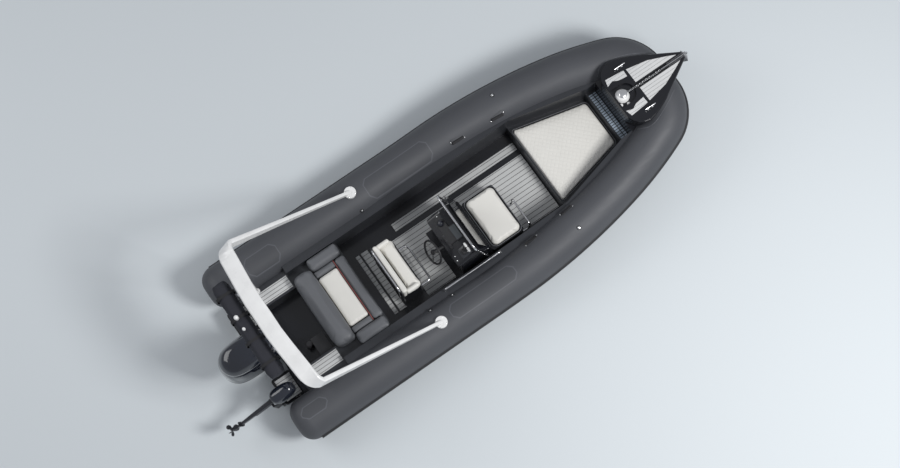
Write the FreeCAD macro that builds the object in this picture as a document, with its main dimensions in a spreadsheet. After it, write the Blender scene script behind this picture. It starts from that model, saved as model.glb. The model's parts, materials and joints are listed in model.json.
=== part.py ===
import FreeCAD, Part

import math
import os
import re

import Sketcher
from FreeCAD import Placement, Rotation, Vector

# Rigid inflatable boat, about seven metres long, afloat.
# Millimetres. X runs forward from the aft ends of the tubes, Y to port and Z up from the waterline.

doc = FreeCAD.newDocument("RigidInflatable")
sheet = doc.addObject("Spreadsheet::Sheet", "Sizes")

# Driving sizes: name, value, what it is
SIZES = [
    ("seat_gap", 0.3, "gap between curved pieces that seat on each other"),
    ("running_gap", 0.05, "radial play of a pin in its bore"),
    ("tube_radius", 310, "radius of the inflated tubes"),
    ("tube_half_span", 1110, "tube axis from the centreline"),
    ("tube_height", 420, "tube axis above the waterline, aft"),
    ("cap_length", 210, "length of the rounded aft end of a tube"),
    ("cap_flat", 100, "radius of the flat disc on that end"),
    ("tube_run", 2830, "straight run of a tube"),
    ("sheer_radius", 6000, "radius with which the tubes turn up"),
    ("sheer_angle", 5.5, "slope of the tubes towards the bow, in degrees"),
    ("shoulder_radius", 9000, "first, wide bend towards the bow"),
    ("shoulder_angle", 12.8, "turn of the first bend, in degrees"),
    ("entry_radius", 5500, "second bend towards the bow"),
    ("entry_angle", 9.3, "turn of the second bend, in degrees"),
    ("bow_radius", 465, "tight bend at the bow"),
    ("strake_height", 92, "height of the rubbing strake"),
    ("strake_depth", 26, "how far the rubbing strake stands out"),
    ("deck_height", 130, "cockpit sole above the waterline"),
    ("keel_depth", 400, "keel below the waterline"),
    ("sheer_lip", 135, "hull's upper edge above the tube's axis"),
    ("sheer_inset", 260, "hull's upper edge inside the tube's axis"),
    ("transom_station", 340, "aft face of the transom"),
    ("transom_wall", 70, "thickness of the transom"),
    ("transom_half_width", 800, "half the transom's width"),
    ("well_front", 1050, "front of the motor well, where the bench begins"),
    ("well_half_width", 500, "half the motor well's width"),
    ("stern_deck_height", 440, "side decks beside the motor well"),
    ("engine_cut_half_width", 330, "half the width of the transom's engine cut-out"),
    ("engine_cut_height", 280, "bottom of the engine cut-out"),
    ("cut_slope", 60, "how far the cut-out's sides lean out"),
    ("cockpit_half_width", 715, "half the cockpit's width between the inner sides"),
    ("step_half_width", 430, "half the cockpit's width at the bow step"),
    ("bow_reach", 3260, "bow moulding's aft face from the tubes' first bend, less the aft cap"),
    ("step_length", 145, "bow step, fore and aft"),
    ("pad_length", 1155, "sunpad, fore and aft"),
    ("nose_top", 1100, "top of the bow moulding"),
    ("nose_height", 262, "height of the bow moulding's sides"),
    ("nose_length", 1180, "bow moulding from its aft face to its tip"),
    ("nose_half_width", 500, "half the bow moulding's greatest width"),
    ("recess_depth", 45, "windlass recess in the bow moulding"),
    ("recess_half_width", 150, "half the windlass recess's width"),
    ("recess_margin", 25, "windlass recess ahead of the moulding's aft face"),
    ("windlass_reach", 124, "windlass's axis ahead of the moulding's aft face"),
    ("channel_depth", 30, "chain channel in the bow moulding"),
    ("channel_half_width", 28, "half the chain channel's width"),
    ("windlass_radius", 90, "windlass, its foot"),
    ("windlass_height", 130, "windlass"),
    ("chain_radius", 7, "anchor chain"),
    ("roller_radius", 21, "bow roller"),
    ("cleat_length", 180, "bow cleats"),
    ("cleat_side", 357, "bow cleats from the centreline"),
    ("cleat_radius", 9, "bow cleats' bars"),
    ("mat_thickness", 6, "foam deck mats"),
    ("mat_margin", 22, "bare edge round a mat"),
    ("bench_length", 800, "aft bench, fore and aft"),
    ("bench_height", 280, "aft bench's box above the deck"),
    ("bench_back_length", 300, "aft bench's backrest, fore and aft"),
    ("bench_back_width", 1180, "aft bench's backrest, across"),
    ("bench_back_height", 250, "aft bench's backrest above its box"),
    ("bench_seat_width", 1040, "aft bench's seat between its side bolsters"),
    ("bolster_height", 150, "aft bench's side bolsters"),
    ("cushion_thickness", 95, "seat cushions"),
    ("aft_aisle", 340, "between the aft bench and the helm seat"),
    ("helm_seat_length", 300, "helm seat, fore and aft"),
    ("helm_seat_width", 800, "helm seat, across"),
    ("helm_seat_centre", -160, "helm seat's centreline from the boat's"),
    ("helm_seat_height", 620, "helm seat's box above the deck"),
    ("helm_seat_overhang", 40, "helm cushions beyond their box at each side"),
    ("helm_back_length", 88, "helm seat's backrest, fore and aft"),
    ("helm_back_height", 300, "helm seat's backrest"),
    ("helm_rail_rise", 370, "rail behind the helm seat above its box"),
    ("foot_bar_reach", 170, "foot bar ahead of the helm seat"),
    ("foot_bar_height", 330, "foot bar above the waterline"),
    ("helm_reach", 580, "between the helm seat and the console"),
    ("console_length", 520, "console from its aft face to its front seat"),
    ("console_width", 800, "console's width"),
    ("console_centre", -260, "console's centreline from the boat's"),
    ("console_knee", 600, "console's upright aft face above the deck"),
    ("console_shoulder", 790, "console's aft edge above the deck"),
    ("console_overhang", 60, "console's aft edge behind its aft face"),
    ("console_crown", 900, "console's top above the deck"),
    ("front_seat_length", 520, "seat on the front of the console"),
    ("front_seat_height", 370, "its box above the deck"),
    ("hoop_width", 900, "windscreen hoop between its legs' axes"),
    ("hoop_centre", -240, "windscreen hoop's centreline from the boat's"),
    ("hoop_ahead", 410, "windscreen hoop's feet ahead of the console's aft face"),
    ("hoop_rake", 220, "how far the hoop leans aft"),
    ("hoop_foot", 560, "height of the hoop's feet above the waterline"),
    ("hoop_top", 1480, "height of the hoop's top above the waterline"),
    ("screen_width", 800, "windscreen"),
    ("screen_thickness", 8, "windscreen's sheet"),
    ("screen_rake", 165, "how far the windscreen leans aft"),
    ("screen_foot", 860, "windscreen's lower edge above the waterline"),
    ("screen_top", 1440, "windscreen's upper edge above the waterline"),
    ("rail_radius", 14, "stainless rails"),
    ("panel_width", 300, "instrument panel"),
    ("throttle_radius", 12, "throttle's lever"),
    ("wheel_radius", 175, "steering wheel, to the middle of its rim"),
    ("wheel_grip", 15, "radius of the wheel's rim"),
    ("wheel_height", 950, "wheel's centre above the waterline"),
    ("wheel_reach", 235, "wheel's centre behind the console's aft face"),
    ("wheel_side", -290, "wheel's centre from the boat's centreline"),
    ("wheel_tilt", 22, "lean of the wheel's axis above level, in degrees"),
    ("pad_height", 240, "sunpad's box above the deck"),
    ("step_height", 430, "bow step above the deck"),
    ("pad_half_width_aft", 640, "half the sunpad's width, aft"),
    ("pad_half_width_fore", 372, "half the sunpad's width, forward"),
    ("side_rail_length", 940, "rail on the starboard inner side"),
    ("side_rail_height", 665, "rail on the starboard inner side, above the waterline"),
    ("front_rail_width", 425, "rail on the front seat"),
    ("front_rail_height", 540, "rail on the front seat, above the waterline"),
    ("handle_length", 190, "grab handles on the tubes"),
    ("arch_foot_station", 2400, "arch's feet on the tubes"),
    ("arch_foot_radius", 85, "arch's feet"),
    ("arch_foot_rise", 25, "arch's feet above the tubes"),
    ("arch_station", 545, "arch's top beam, at its ends"),
    ("arch_sweep", 50, "how far the beam's middle lies aft of its ends"),
    ("arch_height", 2150, "arch's top beam above the waterline"),
    ("arch_half_width", 1010, "half the arch's width at its beam"),
    ("arch_half_chord", 112.5, "half the beam, fore and aft"),
    ("arch_depth", 70, "beam, top to bottom"),
    ("post_radius", 24, "posts under the arch"),
    ("post_side", 760, "posts under the arch, from the centreline"),
    ("boot_length", 1440, "folded canopy in its boot, across"),
    ("boot_width", 270, "folded canopy in its boot, fore and aft"),
    ("boot_depth", 200, "folded canopy in its boot, top to bottom"),
    ("boot_gap", 6, "folded canopy behind the middle of the beam"),
    ("lamp_radius", 30, "all-round light on the boot"),
    ("platform_length", 300, "stern platforms, fore and aft"),
    ("platform_inner", 360, "stern platforms' inner edges from the centreline"),
    ("platform_width", 410, "stern platforms, across"),
    ("platform_height", 285, "stern platforms' top above the waterline"),
    ("platform_wall", 60, "stern platforms' thickness"),
    ("motor_pivot_station", 265, "main motor's tilt axis"),
    ("motor_pivot_height", 385, "main motor's tilt axis above the waterline"),
    ("motor_pin", 18, "main motor's tilt tube, radius"),
    ("motor_steer_back", 75, "main motor's steering axis behind its tilt axis"),
    ("motor_cowl_length", 900, "main motor's cowl, fore and aft"),
    ("motor_cowl_width", 530, "main motor's cowl, across"),
    ("motor_cowl_height", 690, "main motor's cowl, top to bottom"),
    ("motor_cowl_lead", 215, "main motor's cowl ahead of its tilt axis"),
    ("motor_drop", 945, "main motor's propeller shaft below its tilt axis"),
    ("motor_propeller_radius", 195, "main motor's propeller"),
    ("kicker_pivot_station", -100, "auxiliary motor's tilt axis"),
    ("kicker_pivot_height", 445, "auxiliary motor's tilt axis above the waterline"),
    ("kicker_side", -655, "auxiliary motor from the centreline"),
    ("kicker_pin", 9, "auxiliary motor's tilt pin, radius"),
    ("kicker_steer_back", 45, "auxiliary motor's steering axis behind its tilt axis"),
    ("kicker_cowl_length", 330, "auxiliary motor's cowl, fore and aft"),
    ("kicker_cowl_width", 220, "auxiliary motor's cowl, across"),
    ("kicker_cowl_height", 320, "auxiliary motor's cowl, top to bottom"),
    ("kicker_cowl_lead", 50, "auxiliary motor's cowl ahead of its tilt axis"),
    ("kicker_drop", 590, "auxiliary motor's propeller shaft below its tilt axis"),
    ("kicker_propeller_radius", 95, "auxiliary motor's propeller"),
    ("kicker_stowed", 75, "how far the auxiliary motor is tilted up, in degrees"),
]
for row, (alias, value, meaning) in enumerate(SIZES, start=1):
    sheet.set(f"A{row}", meaning)
    sheet.set(f"B{row}", str(value))
    sheet.setAlias(f"B{row}", alias)
    doc.recompute()
ALIASES = {alias for alias, value, meaning in SIZES}

# Stations that follow from the sizes before them
STATIONS = {
    "nose_station": "tube_run + bow_reach",
    "step_station": "nose_station - step_length",
    "pad_station": "step_station - pad_length",
    "helm_seat_station": "well_front + bench_length + aft_aisle",
    "console_aft": "helm_seat_station + helm_seat_length + helm_reach",
    "wheel_station": "console_aft - wheel_reach",
    "beam_aft": "arch_station - arch_sweep - arch_half_chord",
    "boot_station": "beam_aft - boot_gap - boot_width",
}


def dim(name):
    """One size or station, in millimetres or degrees."""
    if name not in STATIONS:
        return float(getattr(sheet, name))
    terms = re.findall(r"(-?) ?([a-z_]+)", STATIONS[name])
    return sum(-dim(term) if sign else dim(term) for sign, term in terms)


def bound(text):
    """An expression on the sheet's cells, from the bare names of sizes and stations."""

    def cell(word):
        name = word[0]
        if name in STATIONS:
            return f"({bound(STATIONS[name])})"
        return f"Sizes.{name}" if name in ALIASES else name

    return re.sub(r"[a-z][a-z_]*", cell, text)


def bind(obj, **formulas):
    """Ties properties to the sheet. Two underscores in a name stand for a dot."""
    for name, text in formulas.items():
        obj.setExpression(name.replace("__", "."), bound(str(text)))
    return obj


PARTS = []


def keep(obj, label):
    """Names a finished sub-part."""
    obj.Label = label
    PARTS.append(obj)
    return obj


def place(obj, at):
    """Puts an object at a corner given by three expressions."""
    return bind(obj, Placement__Base__x=at[0], Placement__Base__y=at[1], Placement__Base__z=at[2])


def made(label, shape):
    """A sub-part whose shape is worked out here from the sheet's sizes."""
    feature = doc.addObject("Part::Feature", label)
    feature.Shape = shape
    return keep(feature, label)


def pair(label, objects):
    """Like pieces on one body that don't touch, kept as one sub-part."""
    for item in objects:
        PARTS.remove(item)
    group = doc.addObject("Part::Compound", label)
    group.Links = objects
    doc.recompute()
    return keep(group, label)


LYING = {
    "x": Rotation(Vector(0, 1, 0), 90),
    "y": Rotation(Vector(1, 0, 0), -90),
    "z": Rotation(),
}


def bar(at, radius, length, axis="z"):
    """A round bar from a point, along one axis."""
    obj = doc.addObject("Part::Cylinder", "bar")
    obj.Placement = Placement(Vector(0, 0, 0), LYING[axis])
    bind(obj, Radius=radius, Height=length)
    return place(obj, at)


def ball(at, radius):
    """A ball round a point."""
    obj = doc.addObject("Part::Sphere", "ball")
    bind(obj, Radius=radius)
    return place(obj, at)


def brick(at, size):
    """A box from its lowest corner."""
    obj = doc.addObject("Part::Box", "brick")
    bind(obj, Length=size[0], Width=size[1], Height=size[2])
    return place(obj, at)


def joined(label, pieces):
    """Pieces fused into one sub-part."""
    obj = doc.addObject("Part::MultiFuse", label)
    obj.Shapes = pieces
    doc.recompute()
    return keep(obj, label)


def edges_along(shape, direction, level=None):
    """Names of the straight edges along one axis, or of all edges at one height."""
    names = []
    for number, edge in enumerate(shape.Edges, start=1):
        box = edge.BoundBox
        if level is not None:
            if abs(box.ZMin - level) < 0.01 and abs(box.ZMax - level) < 0.01:
                names.append(f"Edge{number}")
        elif edge.Curve.TypeId == "Part::GeomLine":
            if abs(edge.tangentAt(edge.FirstParameter).dot(direction)) > 0.999:
                names.append(f"Edge{number}")
    return names


def slab(label, at, size, corner=0, crown=0):
    """A padded rectangle with rounded corners in plan and a rounded upper edge."""
    body = doc.addObject("PartDesign::Body", label)
    plane = [item for item in body.Origin.OriginFeatures if item.Role == "XY_Plane"][0]
    sketch = body.newObject("Sketcher::SketchObject", f"{label}_outline")
    sketch.AttachmentSupport = (plane, "")
    sketch.MapMode = "FlatFace"
    corners = [Vector(0, 0, 0), Vector(100, 0, 0), Vector(100, 60, 0), Vector(0, 60, 0)]
    for k in range(4):
        sketch.addGeometry(Part.LineSegment(corners[k], corners[(k + 1) % 4]), False)
    for k in range(4):
        sketch.addConstraint(Sketcher.Constraint("Coincident", k, 2, (k + 1) % 4, 1))
        sketch.addConstraint(Sketcher.Constraint("Vertical" if k % 2 else "Horizontal", k))
    sketch.addConstraint(Sketcher.Constraint("Coincident", 0, 1, -1, 1))
    for k, name in ((0, "along"), (1, "across")):
        number = sketch.addConstraint(Sketcher.Constraint("Distance", k, 60.0))
        sketch.renameConstraint(number, name)
    bind(sketch, Constraints__along=size[0], Constraints__across=size[1])
    pad = body.newObject("PartDesign::Pad", f"{label}_pad")
    pad.Profile = sketch
    bind(pad, Length=size[2])
    doc.recompute()
    tip = pad
    if corner:
        tip = body.newObject("PartDesign::Fillet", f"{label}_corners")
        tip.Base = (pad, edges_along(pad.Shape, Vector(0, 0, 1)))
        tip.Radius = corner
        doc.recompute()
    if crown:
        base = tip
        tip = body.newObject("PartDesign::Fillet", f"{label}_crown")
        tip.Base = (base, edges_along(base.Shape, Vector(0, 0, 1), level=base.Shape.BoundBox.ZMax))
        tip.Radius = crown
    body.Tip = tip
    place(body, at)
    return keep(body, label)


def polygon(points):
    """A closed wire through points."""
    return Part.makePolygon([Vector(*point) for point in points] + [Vector(*points[0])])


def prism(points, run):
    """A flat outline carried along a straight run."""
    return Part.Face(polygon(points)).extrude(Vector(*run))


def lofted(sections, ruled=True):
    """A closed solid through closed outlines."""
    return Part.makeLoft([polygon(section) for section in sections], True, ruled)


def block(low, high):
    """A box between two corners."""
    return Part.makeBox(high[0] - low[0], high[1] - low[1], high[2] - low[2], Vector(*low))


def rod(start, end, radius):
    """A round bar between two points."""
    start, end = Vector(*start), Vector(*end)
    return Part.makeCylinder(radius, (end - start).Length, start, end - start)


def mirrored(shape):
    """The same shape on the other side of the centreline."""
    return shape.mirror(Vector(0, 0, 0), Vector(0, 1, 0))


def bent_rail(points, bends, radius):
    """A round tube along straight runs joined by tangent arcs, one bend radius for each corner."""
    points = [Vector(*point) for point in points]
    edges = []
    last = points[0]
    for before, corner, after, bend in zip(points, points[1:], points[2:], bends):
        back = (before - corner).normalize()
        ahead = (after - corner).normalize()
        half = back.getAngle(ahead) / 2
        reach = bend / math.tan(half)
        start = corner + back * reach
        end = corner + ahead * reach
        middle = corner + (back + ahead).normalize() * (bend / math.sin(half) - bend)
        edges.append(Part.LineSegment(last, start).toShape())
        edges.append(Part.Arc(start, middle, end).toShape())
        last = end
    edges.append(Part.LineSegment(last, points[-1]).toShape())
    path = Part.Wire(edges)
    ring = Part.Wire([Part.Circle(points[0], points[1] - points[0], radius).toShape()])
    return path.makePipeShell([ring], True, True)


# The inflated collar follows one line: straight, up, and round to the bow in three bends

COLLAR_START = Placement(Vector(dim("cap_length"), dim("tube_half_span"), dim("tube_height")), Rotation())
COLLAR_LINE = [
    ("run", 0, dim("tube_run")),
    ("up", dim("sheer_radius"), dim("sheer_angle")),
    ("right", dim("shoulder_radius"), dim("shoulder_angle")),
    ("right", dim("entry_radius"), dim("entry_angle")),
    ("right", dim("bow_radius"), 90 - dim("shoulder_angle") - dim("entry_angle")),
]
BENDS = {
    "up": (Vector(0, 0, 1), Vector(0, -1, 0)),
    "right": (Vector(0, -1, 0), Vector(0, 0, -1)),
}


def turn_of(frame, kind, radius):
    """Centre and axis of a bend that starts at a frame."""
    centre, axis = BENDS[kind]
    return frame.multVec(centre * radius), frame.Rotation.multVec(axis)


def advance(frame, kind, radius, amount):
    """The frame at the end of a run, or of a bend of so many degrees."""
    if kind == "run":
        return Placement(frame.multVec(Vector(amount, 0, 0)), frame.Rotation)
    pivot, axis = turn_of(frame, kind, radius)
    turn = Rotation(axis, amount)
    return Placement(pivot + turn.multVec(frame.Base - pivot), turn.multiply(frame.Rotation))


def follow(outline, start, moves):
    """Carries a flat outline, drawn across the line, along runs and bends."""
    frame = start
    solids = []
    for kind, radius, amount in moves:
        face = Part.Face(outline.copy())
        face.Placement = frame
        if kind == "run":
            solids.append(face.extrude(frame.Rotation.multVec(Vector(amount, 0, 0))))
        else:
            pivot, axis = turn_of(frame, kind, radius)
            solids.append(face.revolve(pivot, axis, amount))
        frame = advance(frame, kind, radius, amount)
    return (solids[0].fuse(solids[1:]) if len(solids) > 1 else solids[0]), frame


def axis_at(station):
    """The collar's frame where its axis crosses a station."""
    frame = COLLAR_START
    if station < frame.Base.x:
        return Placement(Vector(station, frame.Base.y, frame.Base.z), Rotation())
    for kind, radius, amount in COLLAR_LINE:
        end = advance(frame, kind, radius, amount)
        if end.Base.x >= station:
            low, high = 0.0, amount
            for halving in range(40):
                middle = (low + high) / 2
                if advance(frame, kind, radius, middle).Base.x < station:
                    low = middle
                else:
                    high = middle
            return advance(frame, kind, radius, low)
        frame = end
    return frame


def ring(radius):
    """A circle across the collar's line."""
    return Part.Wire([Part.Circle(Vector(0, 0, 0), Vector(1, 0, 0), radius).toShape()])


def aft_cap(radius):
    """The rounded aft end of the port tube."""
    length, flat = dim("cap_length"), dim("cap_flat")
    middle = Vector(-length * math.cos(math.pi / 4), 0, flat + (radius - flat) * math.sin(math.pi / 4))
    profile = Part.Wire([
        Part.LineSegment(Vector(0, 0, 0), Vector(-length, 0, 0)).toShape(),
        Part.LineSegment(Vector(-length, 0, 0), Vector(-length, 0, flat)).toShape(),
        Part.Arc(Vector(-length, 0, flat), middle, Vector(0, 0, radius)).toShape(),
        Part.LineSegment(Vector(0, 0, radius), Vector(0, 0, 0)).toShape(),
    ])
    cap = Part.Face(profile).revolve(Vector(0, 0, 0), Vector(1, 0, 0), 360)
    cap.Placement = COLLAR_START
    return cap


def bow_run(frame):
    """The last straight run, square across the bow to the centreline."""
    return [("run", 0, frame.Base.y)]


def collar(radius):
    """Side tube and half of the bow tube to port, and the frame between them."""
    side, seam = follow(ring(radius), COLLAR_START, COLLAR_LINE[:4])
    side = side.fuse(aft_cap(radius))
    bend, end = follow(ring(radius), seam, COLLAR_LINE[4:])
    cross, middle = follow(ring(radius), end, bow_run(end))
    return side, bend.fuse(cross)


side_tube, bow_half = collar(dim("tube_radius"))
made("collar_port", side_tube.removeSplitter())
made("collar_starboard", mirrored(side_tube).removeSplitter())
made("collar_bow", bow_half.fuse(mirrored(bow_half)).removeSplitter())

clear_side, clear_bow = collar(dim("tube_radius") + dim("seat_gap"))
TUBE_SPACE = clear_side.fuse([clear_bow, mirrored(clear_side), mirrored(clear_bow)])


# Rubbing strake: a rounded strip along the outer side of the collar

def strake_outline():
    """Strip between the tube's wall and an outer arc, drawn across the collar's line."""
    inner = dim("tube_radius") + dim("seat_gap")
    half = dim("strake_height") / 2
    lift = math.sqrt(inner ** 2 - half ** 2)
    low, high = Vector(0, lift, -half), Vector(0, lift, half)
    wall = Part.Arc(high, Vector(0, inner, 0), low).toShape()
    outer = Part.Arc(low, Vector(0, inner + dim("strake_depth"), 0), high).toShape()
    return Part.Wire([wall, outer])


strake_side, strake_end = follow(strake_outline(), COLLAR_START, COLLAR_LINE)
strake_cross, strake_middle = follow(strake_outline(), strake_end, bow_run(strake_end))
half_strake = strake_side.fuse(strake_cross)
made("rub_strake", half_strake.fuse(mirrored(half_strake)).removeSplitter())


# Hull: one envelope through seven stations, cut by the deck, the cockpit and the tubes

# share of the way from the transom to the bow moulding, keel in keel depths,
# chine inboard of the tube's axis and below it in tube radii
HULL_STATIONS = [
    (0.0, -0.90, 0.871, 1.387),
    (0.358, -1.0, 0.839, 1.323),
    (0.619, -0.937, 0.850, 1.242),
    (0.793, -0.70, 0.871, 1.455),
    (0.915, -0.325, 0.968, 1.160),
    (1.019, 0.275, 1.194, 1.032),
    (1.082, 0.875, 1.355, 0.968),
]


def hull_section(share, keel, inset, drop):
    """Keel, chines, sheer on both sides and the middle of the top."""
    station = dim("transom_station") + share * (dim("nose_station") - dim("transom_station"))
    axis = axis_at(station).Base
    radius = dim("tube_radius")
    chine = (axis.y - inset * radius, axis.z - drop * radius)
    sheer = (axis.y - dim("sheer_inset"), axis.z + dim("sheer_lip"))
    return [
        (station, 0, keel * dim("keel_depth")),
        (station, chine[0], chine[1]),
        (station, sheer[0], sheer[1]),
        (station, 0, sheer[1]),
        (station, -sheer[0], sheer[1]),
        (station, -chine[0], chine[1]),
    ]


envelope = lofted([hull_section(*row) for row in HULL_STATIONS]).cut(TUBE_SPACE)

FAR = 9000
deck = dim("deck_height")
above_deck = block((-FAR, -FAR, deck), (FAR, FAR, FAR))
made("hull", envelope.cut(above_deck).removeSplitter())

upper = envelope.common(above_deck)
transom_at, well_front, pad_at = dim("transom_station"), dim("well_front"), dim("pad_station")
step_at, nose_at = dim("step_station"), dim("nose_station")
half_in, half_step = dim("cockpit_half_width"), dim("step_half_width")
box_top, step_top = deck + dim("pad_height"), deck + dim("step_height")


def both_sides(points):
    """A plan given to port from aft to fore, closed to starboard."""
    return points + [(x, -y) for x, y in reversed(points)]


def column(points, low, high):
    """A plan carried upright between two levels."""
    return prism([(x, y, low) for x, y in points], (0, 0, high - low))


cockpit_space = column(both_sides([(well_front, half_in), (pad_at, half_in)]), deck, FAR)
pad_space = column(both_sides([(pad_at, half_in), (step_at, half_step)]), box_top, FAR)
step_space = column(both_sides([(step_at, half_step), (nose_at, half_step)]), step_top, FAR)
inside = cockpit_space.fuse([pad_space, step_space])
sunpad_box = upper.common(block((pad_at, -FAR, deck), (step_at, FAR, box_top)))
bow_step = upper.common(block((step_at, -FAR, deck), (nose_at, FAR, step_top)))
sides = upper.common(block((well_front, -FAR, deck), (nose_at, FAR, FAR)))
sides = sides.cut([inside, sunpad_box, bow_step])
made("sunpad_box", sunpad_box)
made("bow_step", bow_step)
made("coaming_port", sides.common(block((0, 0, 0), (FAR, FAR, FAR))))
made("coaming_starboard", sides.common(block((0, -FAR, 0), (FAR, 0, FAR))))
nose_foot = dim("nose_top") - dim("nose_height")
made("hull_bow", upper.common(block((nose_at, -FAR, deck), (FAR, FAR, nose_foot))))

transom_top = dim("stern_deck_height")
stern = upper.common(block((transom_at + dim("transom_wall"), -FAR, deck), (well_front, FAR, transom_top)))
made("stern_deck_port", stern.common(block((0, dim("well_half_width"), 0), (FAR, FAR, FAR))))
made("stern_deck_starboard", stern.common(block((0, -FAR, 0), (FAR, -dim("well_half_width"), FAR))))

wide, cut, cut_low = dim("transom_half_width"), dim("engine_cut_half_width"), dim("engine_cut_height")
TRANSOM = [
    (transom_at, -wide, deck),
    (transom_at, wide, deck),
    (transom_at, wide, transom_top),
    (transom_at, cut + dim("cut_slope"), transom_top),
    (transom_at, cut, cut_low),
    (transom_at, -cut, cut_low),
    (transom_at, -cut - dim("cut_slope"), transom_top),
    (transom_at, -wide, transom_top),
]
made("transom", prism(TRANSOM, (dim("transom_wall"), 0, 0)).common(upper))

platforms = []
for side, low in (("port", "platform_inner"), ("starboard", "-platform_inner - platform_width")):
    corner = ("transom_station - platform_length", low, "platform_height - platform_wall")
    platforms.append(slab(f"platform_{side}", corner, ("platform_length", "platform_width", "platform_wall"),
                          corner=40, crown=10))
pair("stern_platforms", platforms)


# Bow moulding, with a recess for the windlass and a channel for the chain

# share of the nose's length, share of its half width
NOSE_PLAN = [
    (0.0, 0.60), (0.03, 0.76), (0.07, 0.88), (0.13, 0.965), (0.20, 1.0), (0.29, 0.955), (0.39, 0.87),
    (0.49, 0.765), (0.58, 0.65), (0.71, 0.47), (0.84, 0.29), (0.93, 0.165), (0.985, 0.09),
]


def nose_outline(level, grow):
    """Plan of the bow moulding at one level, let out all round by grow."""
    start, length, half = dim("nose_station"), dim("nose_length"), dim("nose_half_width")
    port = [(start + share * length + grow * share * 0.5, width * half + grow, level)
            for share, width in NOSE_PLAN]
    return port + [(x, -y, z) for x, y, z in reversed(port)]


nose_top = dim("nose_top")
# millimetres below the top, millimetres let out
NOSE_SIDE = [(dim("nose_height"), -34), (120, -14), (62, 2), (40, 8), (18, 7), (5, 0), (0, -9)]
nose_solid = lofted([nose_outline(nose_top - below, grow) for below, grow in NOSE_SIDE])
recess_low, recess_half = nose_top - dim("recess_depth"), dim("recess_half_width")
recess_aft = nose_at + dim("recess_margin")
recess = Part.makeCylinder(recess_half, FAR, Vector(recess_aft + recess_half, 0, recess_low))
recess_slot = block((recess_aft, -recess_half, recess_low), (recess_aft + recess_half, recess_half, FAR))
recess = recess.fuse(recess_slot)
channel_floor, channel_half = nose_top - dim("channel_depth"), dim("channel_half_width")
channel = block((nose_at + recess_half * 2, -channel_half, channel_floor), (FAR, channel_half, FAR))
nose_solid = nose_solid.cut(recess).cut(channel)
made("nose", nose_solid.cut(TUBE_SPACE))

# share of the nose's length, share of its half width
NOSE_PADS = [
    [(0.326, 0.55), (0.597, 0.424), (0.814, 0.208), (0.919, 0.09), (0.326, 0.09)],
    [(0.025, 0.424), (0.048, 0.622), (0.293, 0.568), (0.288, 0.366), (0.169, 0.41), (0.108, 0.488)],
]
nose_pads = []
for plan in NOSE_PADS:
    port = [(nose_at + share * dim("nose_length"), width * dim("nose_half_width")) for share, width in plan]
    pad = column(port, nose_top, nose_top + dim("mat_thickness"))
    nose_pads += [pad, mirrored(pad)]
made("nose_pads", Part.makeCompound(nose_pads))

base = "nose_top - recess_depth"
windlass = joined("windlass", [
    bar(("nose_station + windlass_reach", "0", base), "windlass_radius", "windlass_height * 0.3"),
    bar(("nose_station + windlass_reach", "0", f"{base} + windlass_height * 0.29"),
        "windlass_radius * 0.62", "windlass_height * 0.5"),
    bar(("nose_station + windlass_reach", "0", f"{base} + windlass_height * 0.7"),
        "windlass_radius * 0.82", "windlass_height * 0.3"),
])

# The chain runs down from the windlass into the channel and along it to the anchor's shank
chain_radius, windlass_at = dim("chain_radius"), nose_at + dim("windlass_reach")
chain_level = channel_floor + chain_radius + dim("seat_gap")
chain_knee, shank_at = windlass_at + 200, nose_at + dim("nose_length") * 0.663
spool = recess_low + dim("windlass_height") * 0.6
chain_start = windlass_at + dim("windlass_radius") * 0.62
chain = rod((chain_start, 0, spool), (chain_knee, 0, chain_level), chain_radius)
chain = chain.fuse([Part.makeSphere(chain_radius, Vector(chain_knee, 0, chain_level)),
                    rod((chain_knee, 0, chain_level), (shank_at - 2, 0, chain_level), chain_radius)])
made("anchor_chain", chain.cut([nose_solid, windlass.Shape]))

tip = nose_at + dim("nose_length")
cheek_aft, cheek_low = shank_at + 118, channel_floor + dim("seat_gap")
CHEEK = [
    (cheek_aft, cheek_low), (cheek_aft, channel_floor + 14), (tip, channel_floor + 26),
    (tip + 44, channel_floor), (tip + 44, channel_floor - 50), (tip - 8, channel_floor - 50),
    (tip - 8, cheek_low),
]
roller_at = Vector(tip + 18, 0, channel_floor - 22)
roller = Part.makeCylinder(dim("roller_radius"), 40, roller_at - Vector(0, 20, 0), Vector(0, 1, 0))
pin = Part.makeCylinder(6, 44, roller_at - Vector(0, 22, 0), Vector(0, 1, 0))
cheeks = [prism([(x, side, z) for x, z in CHEEK], (0, 4, 0)) for side in (-26, 22)]
made("bow_roller", roller.fuse(pin).fuse(cheeks))

# Plough anchor: its shank lies in the channel and its two blades hang under the roller
shank_low, shank_high = channel_floor + 0.5, channel_floor + 24
SHANK = [
    (shank_at, shank_low), (shank_at, shank_high), (tip + 46, shank_high), (tip + 68, shank_low - 20),
    (tip + 68, shank_low - 130), (tip + 50, shank_low - 130), (tip + 50, shank_low - 20),
    (tip + 46, shank_low),
]
shank = prism([(x, -6, z) for x, z in SHANK], (0, 12, 0))


def plough(inset):
    """A wedge from a heel to a point, whose hollow is the same wedge set aft."""
    heel, point = shank_low - 84, shank_low - 330
    keel_heel = (tip + 70 - inset, 0, heel - 10)
    port, starboard = (tip + 22 - inset, 92, heel), (tip + 22 - inset, -92, heel)
    point = (tip + 2 - inset, 0, point + inset)
    return faced([
        [keel_heel, port, point],
        [keel_heel, point, starboard],
        [keel_heel, starboard, port],
        [port, starboard, point],
    ])


def faced(outlines):
    """A solid from its flat faces."""
    solid = Part.makeSolid(Part.makeShell([Part.Face(polygon(outline)) for outline in outlines]))
    return solid if solid.Volume > 0 else solid.reversed()


made("anchor", shank.fuse(plough(0).cut(plough(14))))


# Sunpad

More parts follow.
